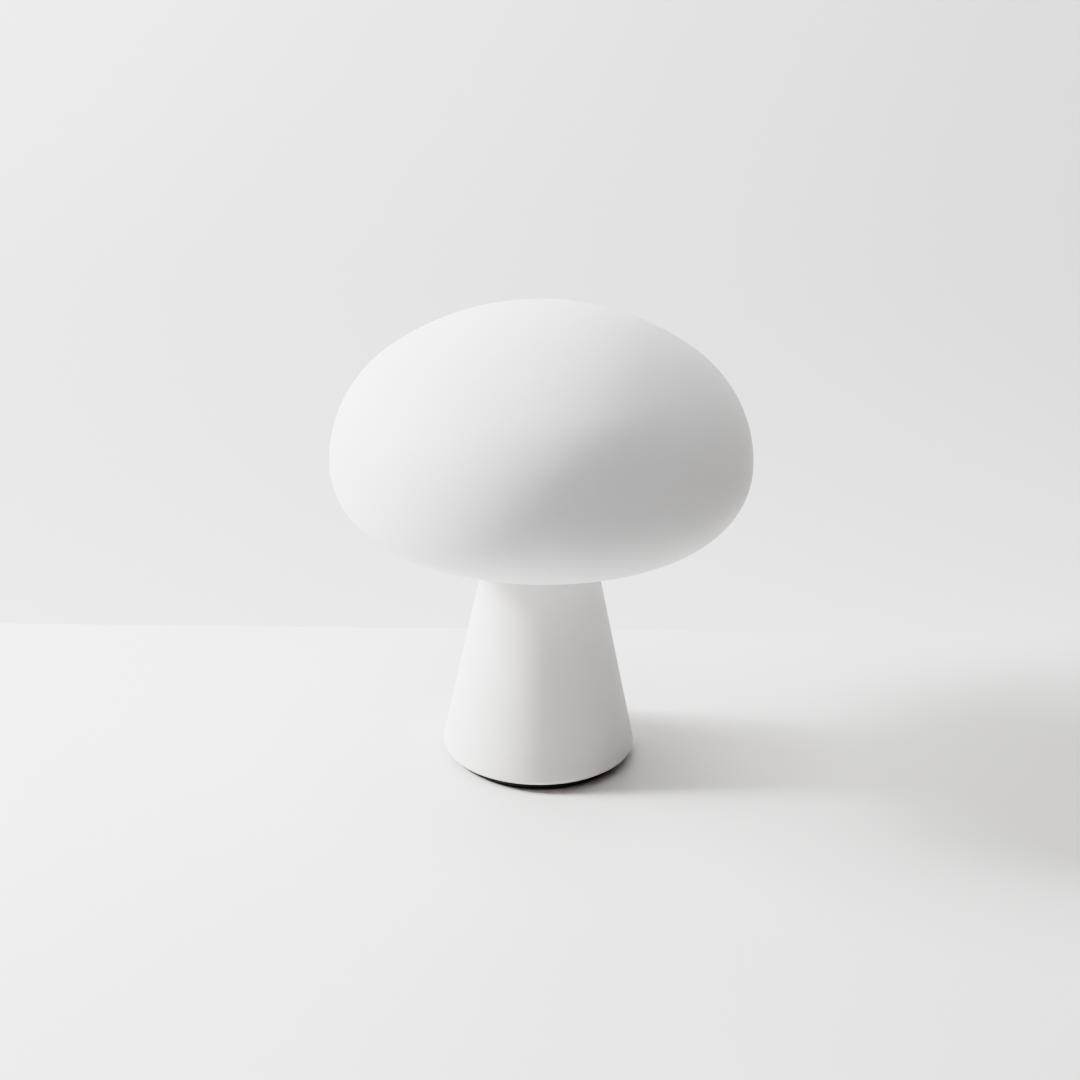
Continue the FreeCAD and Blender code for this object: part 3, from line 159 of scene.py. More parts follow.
def rounded_outline(corners, steps=5):
    """A closed half section through (radius, height, rounding) corners."""
    outline = []
    for i, (radius, height, rounding) in enumerate(corners):
        corner = Vector((radius, height))
        if not rounding:
            outline.append(corner)
            continue
        back = (Vector(corners[i - 1][:2]) - corner).normalized()
        ahead = (Vector(corners[(i + 1) % len(corners)][:2]) - corner).normalized()
        half = back.angle(ahead) / 2
        centre = corner + (back + ahead).normalized() * (rounding / math.sin(half))
        start = corner + back * (rounding / math.tan(half)) - centre
        end = corner + ahead * (rounding / math.tan(half)) - centre
        sweep = math.atan2(start.x * end.y - start.y * end.x, start.dot(end))
        for step in range(steps + 1):
            outline.append(centre + Matrix.Rotation(sweep * step / steps, 2) @ start)
    return outline


def piece_from(name, points, faces, finish, sharp=35.0):
    """A mesh object with one finish, smooth but for the edges over an angle."""
    mesh = bpy.data.meshes.new(name)
    mesh.from_pydata(points, [], faces)
    mesh.update()
    tidy = bmesh.new()
    tidy.from_mesh(mesh)
    bmesh.ops.recalc_face_normals(tidy, faces=tidy.faces)
    tidy.to_mesh(mesh)
    tidy.free()
    mesh.shade_smooth()
    mesh.set_sharp_from_angle(angle=math.radians(sharp))
    mesh.materials.append(finish.material)
    piece = bpy.data.objects.new(name, mesh)
    bpy.context.scene.collection.objects.link(piece)
    return piece


def turned(name, outline, finish, segments=256):
    """A piece turned about the lamp's axis from its closed half section."""
    points = []
    rings = []
    for r, z in outline:
        count = segments if r > 0.0 else 1
        rings.append([len(points) + i % count for i in range(segments)])
        for i in range(count):
            angle = 2 * math.pi * i / segments
            points.append((r * math.cos(angle), r * math.sin(angle), z))
    faces = []
    for low, high in zip(rings, rings[1:] + rings[:1]):
        for i in range(segments):
            k = (i + 1) % segments
            corners = tuple(dict.fromkeys((low[i], low[k], high[k], high[i])))
            if len(corners) > 2:
                faces.append(corners)
    return piece_from(name, points, faces, finish)


def flat_ring(bore, low, high, edge):
    """The half section of a flat ring, from its bore to a box's corners."""
    return rounded_outline(
        [
            (bore, low.z, edge),
            (high.x, low.z, edge),
            (high.x, high.z, edge),
            (bore, high.z, edge),
        ]
    )


PAD_BORE = 12 * MM
PAD_EDGE = 0.35 * MM
PAD_BLACK = (0.016, 0.016, 0.017)
PAD_GREY = (0.034, 0.034, 0.036)

foam = Finish("foot_foam", Specular_IOR_Level=0.3)
foam_cells = foam.cells(0.45 * MM)
foam.colour(foam.mix(foam.noise(3 * MM), PAD_BLACK, PAD_GREY))
foam.roughness(foam.noise(1 * MM) * 0.15 + 0.8)
foam.relief(foam_cells + foam.noise(0.2 * MM) * 0.4, 0.12 * MM)

pad_low, pad_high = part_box("foot_pad")
foot_pad = turned("foot_pad_foam", flat_ring(PAD_BORE, pad_low, pad_high, PAD_EDGE), foam)
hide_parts("foot_pad")
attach(foot_pad, "base")


# ------------------------------------------------------------------ base plate
# A pressed and machined steel disc with a fine black powder coat. The glass stands on
# it, and the whole base is clamped down on it by the nut in its recess.
def dress(finish, *nodes):
    """Gives carried-over solids a finish."""
    for name in nodes:
        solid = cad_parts[name]
        if not solid.material_slots:
            solid.data.materials.append(None)
        for place in solid.material_slots:
            place.material = finish.material


COAT_BLACK = (0.026, 0.026, 0.027)
COAT_WORN = (0.055, 0.055, 0.057)

powder_coat = Finish("black_powder_coat", Specular_IOR_Level=0.45)
scuffs = powder_coat.ramp(powder_coat.noise(4 * MM, 5.0, 0.7), (0.6, 0.0), (0.72, 1.0))
powder_coat.colour(powder_coat.mix(scuffs, COAT_BLACK, COAT_WORN))
powder_coat.roughness(powder_coat.noise(1.2 * MM) * 0.2 + 0.38)
powder_coat.relief(powder_coat.noise(0.5 * MM, 1.0), 0.03 * MM)
dress(powder_coat, "base_plate")


# ------------------------------------------------------------------ ballast
# A cast iron ring that keeps the lamp from tipping. It is left as it came from the
# sand, dark and grainy, and three countersunk screws hold it down on the plate.
IRON_DARK = (0.035, 0.034, 0.034)
IRON_GREY = (0.095, 0.093, 0.092)
IRON_RUST = (0.10, 0.045, 0.022)

cast_iron = Finish("cast_iron", Metallic=0.75)
iron_grain = cast_iron.noise(0.9 * MM, 4.0, 0.65)
iron_bloom = cast_iron.ramp(cast_iron.noise(7 * MM, 4.0), (0.58, 0.0), (0.75, 0.5))
iron_skin = cast_iron.mix(iron_grain, IRON_DARK, IRON_GREY)
cast_iron.colour(cast_iron.mix(iron_bloom, iron_skin, IRON_RUST))
cast_iron.roughness(iron_grain * 0.3 + 0.5)
cast_iron.relief(iron_grain, 0.25 * MM)
dress(cast_iron, "ballast_ring")

ZINC_BRIGHT = (0.66, 0.66, 0.64)
ZINC_DULL = (0.46, 0.47, 0.47)

zinc = Finish("zinc_plate", Metallic=1.0)
zinc_spangle = zinc.noise(1.5 * MM, 3.0, 0.6)
zinc.colour(zinc.mix(zinc_spangle, ZINC_DULL, ZINC_BRIGHT))
zinc.roughness(zinc_spangle * 0.25 + 0.24)
zinc.relief(zinc.noise(0.25 * MM), 0.01 * MM)
dress(zinc, "ballast_screws")


# ------------------------------------------------------------------ threaded tube
# A zinc-plated steel tube, M10 x 1 over its whole length, with a milled slot at the
# back where the two inner leads go in. Nuts and toothed washers clamp it to the plate.
TUBE_BORE = 3.8 * MM
TUBE_PITCH = 1.0 * MM
TUBE_THREAD_DEPTH = 0.5 * MM
TUBE_SLOT = Vector((5.8, 13.0, 28.0)) * MM
TUBE_FACETS = 64
TUBE_STEPS_A_TURN = 8
TUBE_LEAD_IN = 0.8 * MM
TUBE_END_CUT = 0.4 * MM
SLOT_FACETS = 32


def threaded(name, levels, bore, crest, facets, finish):
    """A tube whose outer and inner radius depend on the height and the turn."""
    points = []
    for side in (bore, crest):
        for z in levels:
            for i in range(facets):
                turn = i / facets
                r = side(z, turn)
                angle = 2 * math.pi * turn
                points.append((r * math.cos(angle), r * math.sin(angle), z))
    rows = len(levels)
    faces = []
    for side in range(2):
        for j in range(rows - 1):
            low = (side * rows + j) * facets
            for i in range(facets):
                k = (i + 1) % facets
                faces.append((low + i, low + k, low + facets + k, low + facets + i))
    for j in (0, rows - 1):
        inner, outer = j * facets, (rows + j) * facets
        for i in range(facets):
            k = (i + 1) % facets
            faces.append((inner + i, inner + k, outer + k, outer + i))
    return piece_from(name, points, faces, finish, sharp=50.0)


def levels_between(foot, top, step):
    """Evenly spaced heights from a foot to a top, about one step apart."""
    count = max(1, round((top - foot) / step))
    return [foot + (top - foot) * i / count for i in range(count + 1)]


def cut_away(piece, cutter):
    """Takes a cutter's volume out of a piece, and throws the cutter away."""
    cut = piece.modifiers.new("cut", "BOOLEAN")
    cut.operation = "DIFFERENCE"
    cut.solver = "EXACT"
    cut.object = cutter
    shaped = bpy.data.meshes.new_from_object(
        piece.evaluated_get(bpy.context.evaluated_depsgraph_get())
    )
    piece.modifiers.clear()
    piece.data = shaped
    piece.data.name = piece.name
    bpy.data.objects.remove(cutter)


tube_low, tube_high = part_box("threaded_tube")
tube_radius = tube_high.x


def tube_crest(z, turn):
    """A V thread, rounded over at both ends of the tube."""
    along = (z / TUBE_PITCH - turn) % 1.0
    flank = 1.0 - abs(2.0 * along - 1.0)
    to_end = min(z - tube_low.z, tube_high.z - z)
    lead_in = max(0.0, 1.0 - to_end / TUBE_LEAD_IN) * TUBE_END_CUT
    return tube_radius - max(TUBE_THREAD_DEPTH * (1.0 - flank), lead_in)


threaded_tube = threaded(
    "threaded_tube_m10",
    levels_between(tube_low.z, tube_high.z, TUBE_PITCH / TUBE_STEPS_A_TURN),
    lambda z, turn: TUBE_BORE,
    tube_crest,
    TUBE_FACETS,
    zinc,
)
slot_wide, slot_tall, slot_middle = TUBE_SLOT
slot_round = slot_wide / 2
slot_sides = []
for i in range(SLOT_FACETS):
    angle = 2 * math.pi * (i + 0.5) / SLOT_FACETS
    shift = math.copysign(slot_tall / 2 - slot_round, math.sin(angle))
    slot_sides.append(
        (slot_round * math.cos(angle), slot_middle + shift + slot_round * math.sin(angle))
    )
slot_points = [(x, y, z) for y in (0.0, 2 * tube_radius) for x, z in slot_sides]
slot_faces = [tuple(range(SLOT_FACETS)), tuple(range(SLOT_FACETS, 2 * SLOT_FACETS))]
for i in range(SLOT_FACETS):
    k = (i + 1) % SLOT_FACETS
    slot_faces.append((i, k, SLOT_FACETS + k, SLOT_FACETS + i))
cut_away(threaded_tube, piece_from("slot_cutter", slot_points, slot_faces, zinc))
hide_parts("threaded_tube")
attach(threaded_tube, "base")
dress(zinc, "lower_nut", "lower_washer", "upper_nut", "upper_washer")


# ------------------------------------------------------------------ terminal block
# A moulded nylon block screwed down on the ballast. Brass sleeves and slotted screws
# join the mains cord, which comes in at the back, to the two inner leads.
NYLON_MILK = (0.80, 0.79, 0.74)
NYLON_DEEP = (0.70, 0.68, 0.61)

nylon = Finish("natural_nylon", Subsurface_Weight=0.2, Subsurface_Scale=0.002)
nylon.colour(nylon.mix(nylon.noise(4 * MM), NYLON_DEEP, NYLON_MILK))
nylon.roughness(nylon.noise(0.6 * MM) * 0.15 + 0.35)
nylon.relief(nylon.noise(0.4 * MM), 0.01 * MM)
dress(nylon, "terminal_block")

BRASS_BRIGHT = (0.74, 0.56, 0.27)
BRASS_TARNISH = (0.42, 0.27, 0.11)

brass = Finish("drawn_brass", Metallic=1.0)
tarnish = brass.ramp(brass.noise(2.5 * MM, 4.0, 0.6), (0.45, 0.0), (0.8, 0.7))
brass.colour(brass.mix(tarnish, BRASS_BRIGHT, BRASS_TARNISH))
brass.roughness(tarnish * 0.25 + 0.22)
brass.relief(brass.noise(0.15 * MM), 0.006 * MM)
dress(brass, "terminal_inserts")
dress(zinc, "terminal_clamp_screws", "terminal_fixing_screw")


# ------------------------------------------------------------------ inner leads
# Two single wires with PVC insulation, brown for live and blue for neutral, that run
# from the terminal block up inside the tube to the lampholder's posts.
def insulation(name, skin, faded):
    """Extruded PVC: a soft sheen, with faint drag lines and dust."""
    pvc = Finish(name, Specular_IOR_Level=0.5)
    pvc.colour(pvc.mix(pvc.noise(3 * MM, 3.0), skin, faded))
    pvc.roughness(pvc.noise(0.8 * MM) * 0.2 + 0.32)
    pvc.relief(pvc.noise(0.3 * MM), 0.01 * MM)
    return pvc


LIVE_BROWN = (0.13, 0.045, 0.018)
LIVE_FADED = (0.19, 0.085, 0.045)
NEUTRAL_BLUE = (0.012, 0.085, 0.33)
NEUTRAL_FADED = (0.04, 0.14, 0.40)
dress(insulation("live_insulation", LIVE_BROWN, LIVE_FADED), "lead_live")
dress(insulation("neutral_insulation", NEUTRAL_BLUE, NEUTRAL_FADED), "lead_neutral")


# ------------------------------------------------------------------ rim gasket
# A thin ring of vulcanised fibre that the glass stands on, so that it never bears on
# bare steel. Its brown edge is the fine line between the glass and the black plate.
# Both browns are painted lighter than the fibre is. This is painted light, making up for the
# shade the ring sits in under the glass's foot.
FIBRE_BROWN_PAINTED_LIGHTER = (0.52, 0.39, 0.28)
FIBRE_DARK_PAINTED_LIGHTER = (0.32, 0.23, 0.16)
FIBRE_EDGE = 0.08 * MM
GASKET_BORE = 43 * MM

fibre = Finish("vulcanised_fibre_painted_lighter", Specular_IOR_Level=0.3)
strands = fibre.noise(0.5 * MM, 4.0, 0.7)
fibre.colour(fibre.mix(strands, FIBRE_DARK_PAINTED_LIGHTER, FIBRE_BROWN_PAINTED_LIGHTER))
fibre.roughness(strands * 0.2 + 0.65)
fibre.relief(strands, 0.04 * MM)

gasket_low, gasket_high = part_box("rim_gasket")
rim_gasket = turned(
    "rim_gasket_fibre", flat_ring(GASKET_BORE, gasket_low, gasket_high, FIBRE_EDGE), fibre
)
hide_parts("rim_gasket")
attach(rim_gasket, "base")


# ------------------------------------------------------------------ glass cone
# The base: opal white glass blown into a tapered mould, then etched in acid to a satin
# skin. Its foot turns inwards over a rounded edge, and a hole is drilled for the cord.
# The cone's two whites are painted darker than the lampshade's, though both are one opal
# glass. This is painted shade, darkening the cone that stands under the lampshade.
CONE_WHITE_PAINTED_SHADE = (0.815, 0.802, 0.791)
CONE_CLOUD_PAINTED_SHADE = (0.800, 0.786, 0.773)
LIGHT_IN_GLASS = (1.0, 0.93, 0.88)


def opal_glass(name, white, cloud, milkiness, depth):
    """Satin opal glass: faint clouds, an etched grain and the mould's slow waves."""
    glass = Finish(
        name,
        IOR=1.5,
        Specular_IOR_Level=0.35,
        Subsurface_Weight=milkiness,
        Subsurface_Radius=LIGHT_IN_GLASS,
        Subsurface_Scale=depth,
    )
    clouds = glass.noise(38 * MM, 2.0)
    glass.colour(glass.mix(clouds, cloud, white))
    glass.roughness(glass.noise(9 * MM, 3.0) * 0.1 + 0.55)
    etch = glass.noise(0.35 * MM, 2.0)
    waves = glass.noise(30 * MM, 1.0)
    glass.relief(waves * 12.0 + etch, 0.008 * MM)
    return glass


CONE_WALL = 3.5 * MM
CONE_TOP_RADIUS = 28.1 * MM
CONE_FOOT_ROUND = 3.0 * MM
CONE_TOP_ROUND = 0.5 * MM
CONE_INNER_ROUND = 1.2 * MM
CORD_HOLE = 5.0 * MM
CORD_HOLE_HEIGHT = 22.0 * MM
CORD_RINGS_APART = 5.3 * MM
CONE_FOOT_RADIUS = 52.5 * MM
CONE_ARC_STEPS = 10
CONE_MILKINESS = 0.7
CONE_LIGHT_DEPTH = 4.5 * MM
HOLE_FACETS = 64

base_glass = opal_glass(
    "base_opal_glass_painted_shade", CONE_WHITE_PAINTED_SHADE, CONE_CLOUD_PAINTED_SHADE, CONE_MILKINESS, CONE_LIGHT_DEPTH
)
cone_low, cone_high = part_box("base_cone")
cone_slope = (CONE_FOOT_RADIUS - CONE_TOP_RADIUS) / (cone_high.z - cone_low.z)
cone_tilt = math.atan(cone_slope)
cone_across = CONE_WALL / math.cos(cone_tilt)
cone_inside_foot = cone_low.z + CONE_WALL
cord_rings = (CORD_HOLE_HEIGHT + CORD_RINGS_APART, CORD_HOLE_HEIGHT - CORD_RINGS_APART)


def cone_ring(z, inset):
    """A ring of points on the cone's side, which keeps the hole's facets short."""
    return CONE_FOOT_RADIUS - cone_slope * (z - cone_low.z) - inset, z, 0.0


base_cone = turned(
    "base_cone_glass",
    rounded_outline(
        [
            (GASKET_BORE, cone_low.z, CONE_TOP_ROUND),
            (CONE_FOOT_RADIUS, cone_low.z, CONE_FOOT_ROUND),
            *[cone_ring(z, 0.0) for z in cord_rings[::-1]],
            (CONE_TOP_RADIUS, cone_high.z, CONE_TOP_ROUND),
            (CONE_TOP_RADIUS - cone_across, cone_high.z, CONE_TOP_ROUND),
            *[cone_ring(z, cone_across) for z in cord_rings],
            (
                CONE_FOOT_RADIUS - cone_slope * CONE_WALL - cone_across,
                cone_inside_foot,
                CONE_INNER_ROUND,
            ),
            (GASKET_BORE, cone_inside_foot, CONE_TOP_ROUND),
        ],
        steps=CONE_ARC_STEPS,
    ),
    base_glass,
)

cord_way_out = Vector((0.0, math.cos(cone_tilt), math.sin(cone_tilt)))
cord_side = Vector((1.0, 0.0, 0.0))
cord_up = cord_side.cross(cord_way_out)
cord_entry = Vector(
    (
        0.0,
        CONE_FOOT_RADIUS - cone_slope * (CORD_HOLE_HEIGHT - cone_low.z),
        CORD_HOLE_HEIGHT,
    )
)


def about_cord_hole(outline, facets):
    """Points turned about the cord hole from (radius, height out of the glass) pairs."""
    points = []
    for i in range(facets):
        angle = 2 * math.pi * i / facets
        across = cord_side * math.cos(angle) + cord_up * math.sin(angle)
        points += [cord_entry + across * r + cord_way_out * out for r, out in outline]
    return points


rod = about_cord_hole([(CORD_HOLE, -3 * CONE_WALL), (CORD_HOLE, 3 * CONE_WALL)], HOLE_FACETS)
rod_faces = [tuple(range(0, len(rod), 2)), tuple(range(1, len(rod), 2))]
for i in range(0, len(rod), 2):
    rod_faces.append((i, i + 1, (i + 3) % len(rod), (i + 2) % len(rod)))
cut_away(base_cone, piece_from("hole_cutter", rod, rod_faces, base_glass))
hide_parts("base_cone")
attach(base_cone, "base")


# ------------------------------------------------------------------ cord bush
# A black rubber bush snapped into the drilled hole, where the mains cord goes in. Its
# two soft flanges follow the curve of the glass and keep the cord off the cut edge.
BUSH_BORE = 3.1 * MM
BUSH_FLANGE = 7.2 * MM
BUSH_FLANGE_THICK = 1.8 * MM
BUSH_FIT = 0.1 * MM
BUSH_EDGE = 0.7 * MM
BUSH_INNER_LIP = 0.3 * MM
BUSH_OUTER_LIP = 0.5 * MM
BUSH_LIP_ROUND = 0.2 * MM
BUSH_NECK_ROUND = 0.1 * MM
BUSH_FACETS = 96
BUSH_BLACK = (0.020, 0.020, 0.021)
BUSH_DUST = (0.050, 0.050, 0.052)

rubber = Finish("black_rubber", Specular_IOR_Level=0.4)
rubber.colour(rubber.mix(rubber.noise(2.5 * MM, 4.0), BUSH_BLACK, BUSH_DUST))
rubber.roughness(rubber.noise(0.7 * MM) * 0.2 + 0.5)
rubber.relief(rubber.noise(0.25 * MM), 0.02 * MM)

bush_outer = BUSH_FLANGE_THICK
bush_inner = -CONE_WALL - BUSH_FLANGE_THICK
bush_outline = rounded_outline(
    [
        (BUSH_BORE, bush_inner, BUSH_INNER_LIP),
        (BUSH_FLANGE, bush_inner, BUSH_EDGE),
        (BUSH_FLANGE, -CONE_WALL - BUSH_FIT, BUSH_LIP_ROUND),
        (CORD_HOLE - BUSH_FIT, -CONE_WALL - BUSH_FIT, BUSH_NECK_ROUND),
        (CORD_HOLE - BUSH_FIT, BUSH_FIT, BUSH_NECK_ROUND),
        (BUSH_FLANGE, BUSH_FIT, BUSH_LIP_ROUND),
        (BUSH_FLANGE, bush_outer, BUSH_EDGE),
        (BUSH_BORE, bush_outer, BUSH_OUTER_LIP),
    ]
)
bush_points = []
for point in about_cord_hole(bush_outline, BUSH_FACETS):
    aside = (point - cord_entry).dot(cord_side)
    sag = aside**2 * math.cos(cone_tilt) / (2 * cord_entry.y)
    bush_points.append(point - cord_way_out * sag)
count = len(bush_outline)
bush_faces = []
for i in range(BUSH_FACETS):
    here, there = i * count, (i + 1) % BUSH_FACETS * count
    for j in range(count):
        k = (j + 1) % count
        bush_faces.append((here + j, there + j, there + k, here + k))
cord_bush = piece_from("cord_bush_rubber", bush_points, bush_faces, rubber)
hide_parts("cord_bush")
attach(cord_bush, "base")


# ------------------------------------------------------------------ gallery
# The pressed steel plate that closes the cone: white stove enamel, with a register
# down inside the glass, a collar for the shade and a ring of vents for the warm air.
ENAMEL_WHITE = (0.82, 0.81, 0.79)
ENAMEL_SHADE = (0.74, 0.73, 0.71)

enamel = Finish("white_enamel", Coat_Roughness=0.15, Coat_Weight=0.3)
enamel.colour(enamel.mix(enamel.noise(6 * MM, 3.0), ENAMEL_SHADE, ENAMEL_WHITE))
enamel.roughness(enamel.noise(1.5 * MM) * 0.15 + 0.3)
enamel.relief(enamel.noise(0.9 * MM, 1.0), 0.02 * MM)
dress(enamel, "shade_gallery")

SPRING_BRIGHT = (0.60, 0.60, 0.58)
SPRING_BLUE = (0.40, 0.42, 0.47)

spring_steel = Finish("spring_steel", Metallic=1.0, Anisotropic=0.5)
temper = spring_steel.noise(2.5 * MM, 3.0)
spring_steel.colour(spring_steel.mix(temper, SPRING_BLUE, SPRING_BRIGHT))
spring_steel.roughness(spring_steel.noise(0.4 * MM) * 0.15 + 0.2)
spring_steel.relief(spring_steel.noise(0.15 * MM), 0.004 * MM)
dress(spring_steel, "shade_springs")
dress(zinc, "spring_rivets")


# ------------------------------------------------------------------ silicone rings
# Two soft washers cut from milky silicone sheet: one between the cone's ground rim and
# the gallery, one on the gallery where the shade comes down on it.
SILICONE_MILK = (0.74, 0.73, 0.70)
SILICONE_CLEAR = (0.62, 0.61, 0.58)
SILICONE_EDGE = 0.15 * MM
SEAT_RING_BORE = 25.0 * MM
CONE_RING_BORE = 24.32 * MM

silicone = Finish("milky_silicone", Subsurface_Weight=0.3, Subsurface_Scale=0.001)
silicone.colour(silicone.mix(silicone.noise(3 * MM), SILICONE_CLEAR, SILICONE_MILK))
silicone.roughness(silicone.noise(0.8 * MM) * 0.15 + 0.45)
silicone.relief(silicone.noise(0.3 * MM), 0.01 * MM)

for node, bore in (("shade_seat_ring", SEAT_RING_BORE), ("gallery_gasket", CONE_RING_BORE)):
    low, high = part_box(node)
    washer = turned(node + "_silicone", flat_ring(bore, low, high, SILICONE_EDGE), silicone)
    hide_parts(node)
    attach(washer, "base")


# ------------------------------------------------------------------ lampholder
# A small screw lampholder: a white thermoset cap, skirt and ring nut round a glazed
# porcelain core, with a rolled brass screw shell, a sprung contact and two posts.
PLASTIC_WHITE = (0.80, 0.79, 0.765)
PLASTIC_WARM = (0.75, 0.735, 0.70)

thermoset = Finish("white_thermoset", Specular_IOR_Level=0.55)
thermoset.colour(thermoset.mix(thermoset.noise(5 * MM, 3.0), PLASTIC_WARM, PLASTIC_WHITE))
thermoset.roughness(thermoset.noise(1.1 * MM) * 0.14 + 0.26)
thermoset.relief(thermoset.noise(0.6 * MM), 0.012 * MM)
dress(thermoset, "holder_cap", "holder_skirt", "holder_ring")

GLAZE_WHITE = (0.84, 0.83, 0.80)
GLAZE_GREY = (0.77, 0.765, 0.74)

porcelain = Finish("glazed_porcelain", Coat_Weight=0.8, Coat_Roughness=0.06)
porcelain.colour(porcelain.mix(porcelain.noise(2.5 * MM, 3.0), GLAZE_GREY, GLAZE_WHITE))
porcelain.roughness(porcelain.noise(1 * MM) * 0.1 + 0.25)
porcelain.relief(porcelain.noise(1.6 * MM, 1.0), 0.03 * MM)
dress(porcelain, "holder_core")
dress(brass, "holder_screw_shell", "holder_centre_contact", "holder_posts")
dress(zinc, "holder_post_screws", "holder_grub_screw")


# ------------------------------------------------------------------ bulb
# A golf-ball LED bulb: a blown opal plastic globe on a white moulded collar, a rolled
# nickel-finished E14 cap with a black insulator and a solder button under it.
CAP_PITCH = 2.822 * MM
CAP_WALL = 0.4 * MM
CAP_RADIUS = 6.8 * MM
CAP_THREAD = 0.30 * MM
CAP_FLANGE_HEIGHT = 0.8 * MM
CAP_STEP = 0.02 * MM
CAP_FACETS = 96
ROLL_STEPS = 14

GLOBE_WHITE = (0.88, 0.875, 0.85)
GLOBE_CLOUD = (0.84, 0.83, 0.80)

diffuser = Finish("opal_diffuser", Subsurface_Weight=0.3, Subsurface_Scale=0.002)
diffuser.colour(diffuser.mix(diffuser.noise(12 * MM, 2.0), GLOBE_CLOUD, GLOBE_WHITE))
diffuser.roughness(diffuser.noise(3 * MM, 2.0) * 0.12 + 0.4)
diffuser.relief(diffuser.noise(0.4 * MM), 0.006 * MM)
dress(diffuser, "bulb_globe")

MOULDING_SHADE = (0.80, 0.80, 0.79)
MOULDING_WHITE = (0.85, 0.85, 0.84)
moulding = Finish("white_moulding", Specular_IOR_Level=0.5)
moulding.colour(moulding.mix(moulding.noise(7 * MM, 2.0), MOULDING_SHADE, MOULDING_WHITE))
moulding.roughness(moulding.noise(0.9 * MM) * 0.12 + 0.3)
moulding.relief(moulding.noise(0.5 * MM), 0.012 * MM)
dress(moulding, "bulb_collar")

NICKEL_DULL = (0.55, 0.53, 0.50)
NICKEL_BRIGHT = (0.74, 0.73, 0.70)
nickel = Finish("nickel_finish", Metallic=1.0)
handling = nickel.noise(2.2 * MM, 4.0, 0.6)
nickel.colour(nickel.mix(handling, NICKEL_DULL, NICKEL_BRIGHT))
nickel.roughness(handling * 0.2 + 0.2)
nickel.relief(nickel.noise(0.2 * MM), 0.006 * MM)

cap_low, cap_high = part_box("bulb_cap")
cap_flange_foot = cap_high.z - CAP_FLANGE_HEIGHT
cap_flange_radius = cap_high.x


def cap_crest(z, turn):
    """The rolled round thread, dying out at both ends, then the flange."""
    if z > cap_flange_foot:
        return cap_flange_radius
    fade = min(1.0, (z - cap_low.z) / CAP_PITCH, (cap_flange_foot - z) / CAP_PITCH)
    wave = math.cos(2 * math.pi * (z / CAP_PITCH - turn))
    return CAP_RADIUS - CAP_THREAD * (1 - wave) * fade


def cap_bore(z, turn):
    """The sheet is as thick all over, but for the folded flange."""
    return min(cap_crest(z, turn), CAP_RADIUS) - CAP_WALL


cap_levels = levels_between(cap_low.z, cap_flange_foot, CAP_PITCH / ROLL_STEPS)
cap_levels += levels_between(cap_flange_foot + CAP_STEP, cap_high.z, CAP_FLANGE_HEIGHT)
bulb_cap = threaded("bulb_cap_e14", cap_levels, cap_bore, cap_crest, CAP_FACETS, nickel)
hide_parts("bulb_cap")
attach(bulb_cap, "bulb")

INSULATOR_BLACK = (0.01, 0.01, 0.011)
INSULATOR_DUST = (0.03, 0.028, 0.03)
insulator = Finish("black_insulator", Coat_Weight=0.5, Coat_Roughness=0.1)
insulator.colour(insulator.mix(insulator.noise(1.5 * MM), INSULATOR_BLACK, INSULATOR_DUST))
insulator.roughness(insulator.noise(0.6 * MM) * 0.15 + 0.2)
insulator.relief(insulator.noise(0.8 * MM), 0.02 * MM)
dress(insulator, "bulb_insulator")

SOLDER_DULL = (0.42, 0.42, 0.42)
SOLDER_BRIGHT = (0.66, 0.66, 0.65)
solder = Finish("solder", Metallic=1.0)
solder_skin = solder.noise(0.8 * MM, 3.0)
solder.colour(solder.mix(solder_skin, SOLDER_DULL, SOLDER_BRIGHT))
solder.roughness(solder_skin * 0.25 + 0.25)
solder.relief(solder_skin, 0.05 * MM)
dress(solder, "bulb_button")

MASK_SHADE = (0.78, 0.78, 0.76)
MASK_WHITE = (0.86, 0.86, 0.85)
solder_mask = Finish("white_solder_mask", Coat_Weight=0.4, Coat_Roughness=0.2)
solder_mask.colour(solder_mask.mix(solder_mask.noise(2 * MM), MASK_SHADE, MASK_WHITE))
solder_mask.roughness(solder_mask.noise(0.5 * MM) * 0.15 + 0.35)
solder_mask.relief(solder_mask.noise(0.4 * MM), 0.01 * MM)
dress(solder_mask, "bulb_led_board")

PHOSPHOR_DEEP = (0.80, 0.52, 0.08)
PHOSPHOR_PALE = (0.88, 0.68, 0.18)
phosphor = Finish("yellow_phosphor", Coat_Weight=0.6, Coat_Roughness=0.1)
phosphor.colour(phosphor.mix(phosphor.noise(0.5 * MM), PHOSPHOR_DEEP, PHOSPHOR_PALE))
phosphor.roughness(phosphor.noise(0.3 * MM) * 0.1 + 0.3)
phosphor.relief(phosphor.noise(0.3 * MM), 0.01 * MM)
dress(phosphor, "bulb_leds")

LAMINATE_DEEP = (0.02, 0.14, 0.05)
LAMINATE_PALE = (0.06, 0.26, 0.11)
laminate = Finish("green_laminate", Coat_Weight=0.5, Coat_Roughness=0.2)
weave = laminate.cells(0.5 * MM)
laminate.colour(laminate.mix(weave, LAMINATE_DEEP, LAMINATE_PALE))
laminate.roughness(weave * 0.2 + 0.35)
laminate.relief(weave, 0.02 * MM)
dress(laminate, "bulb_driver")


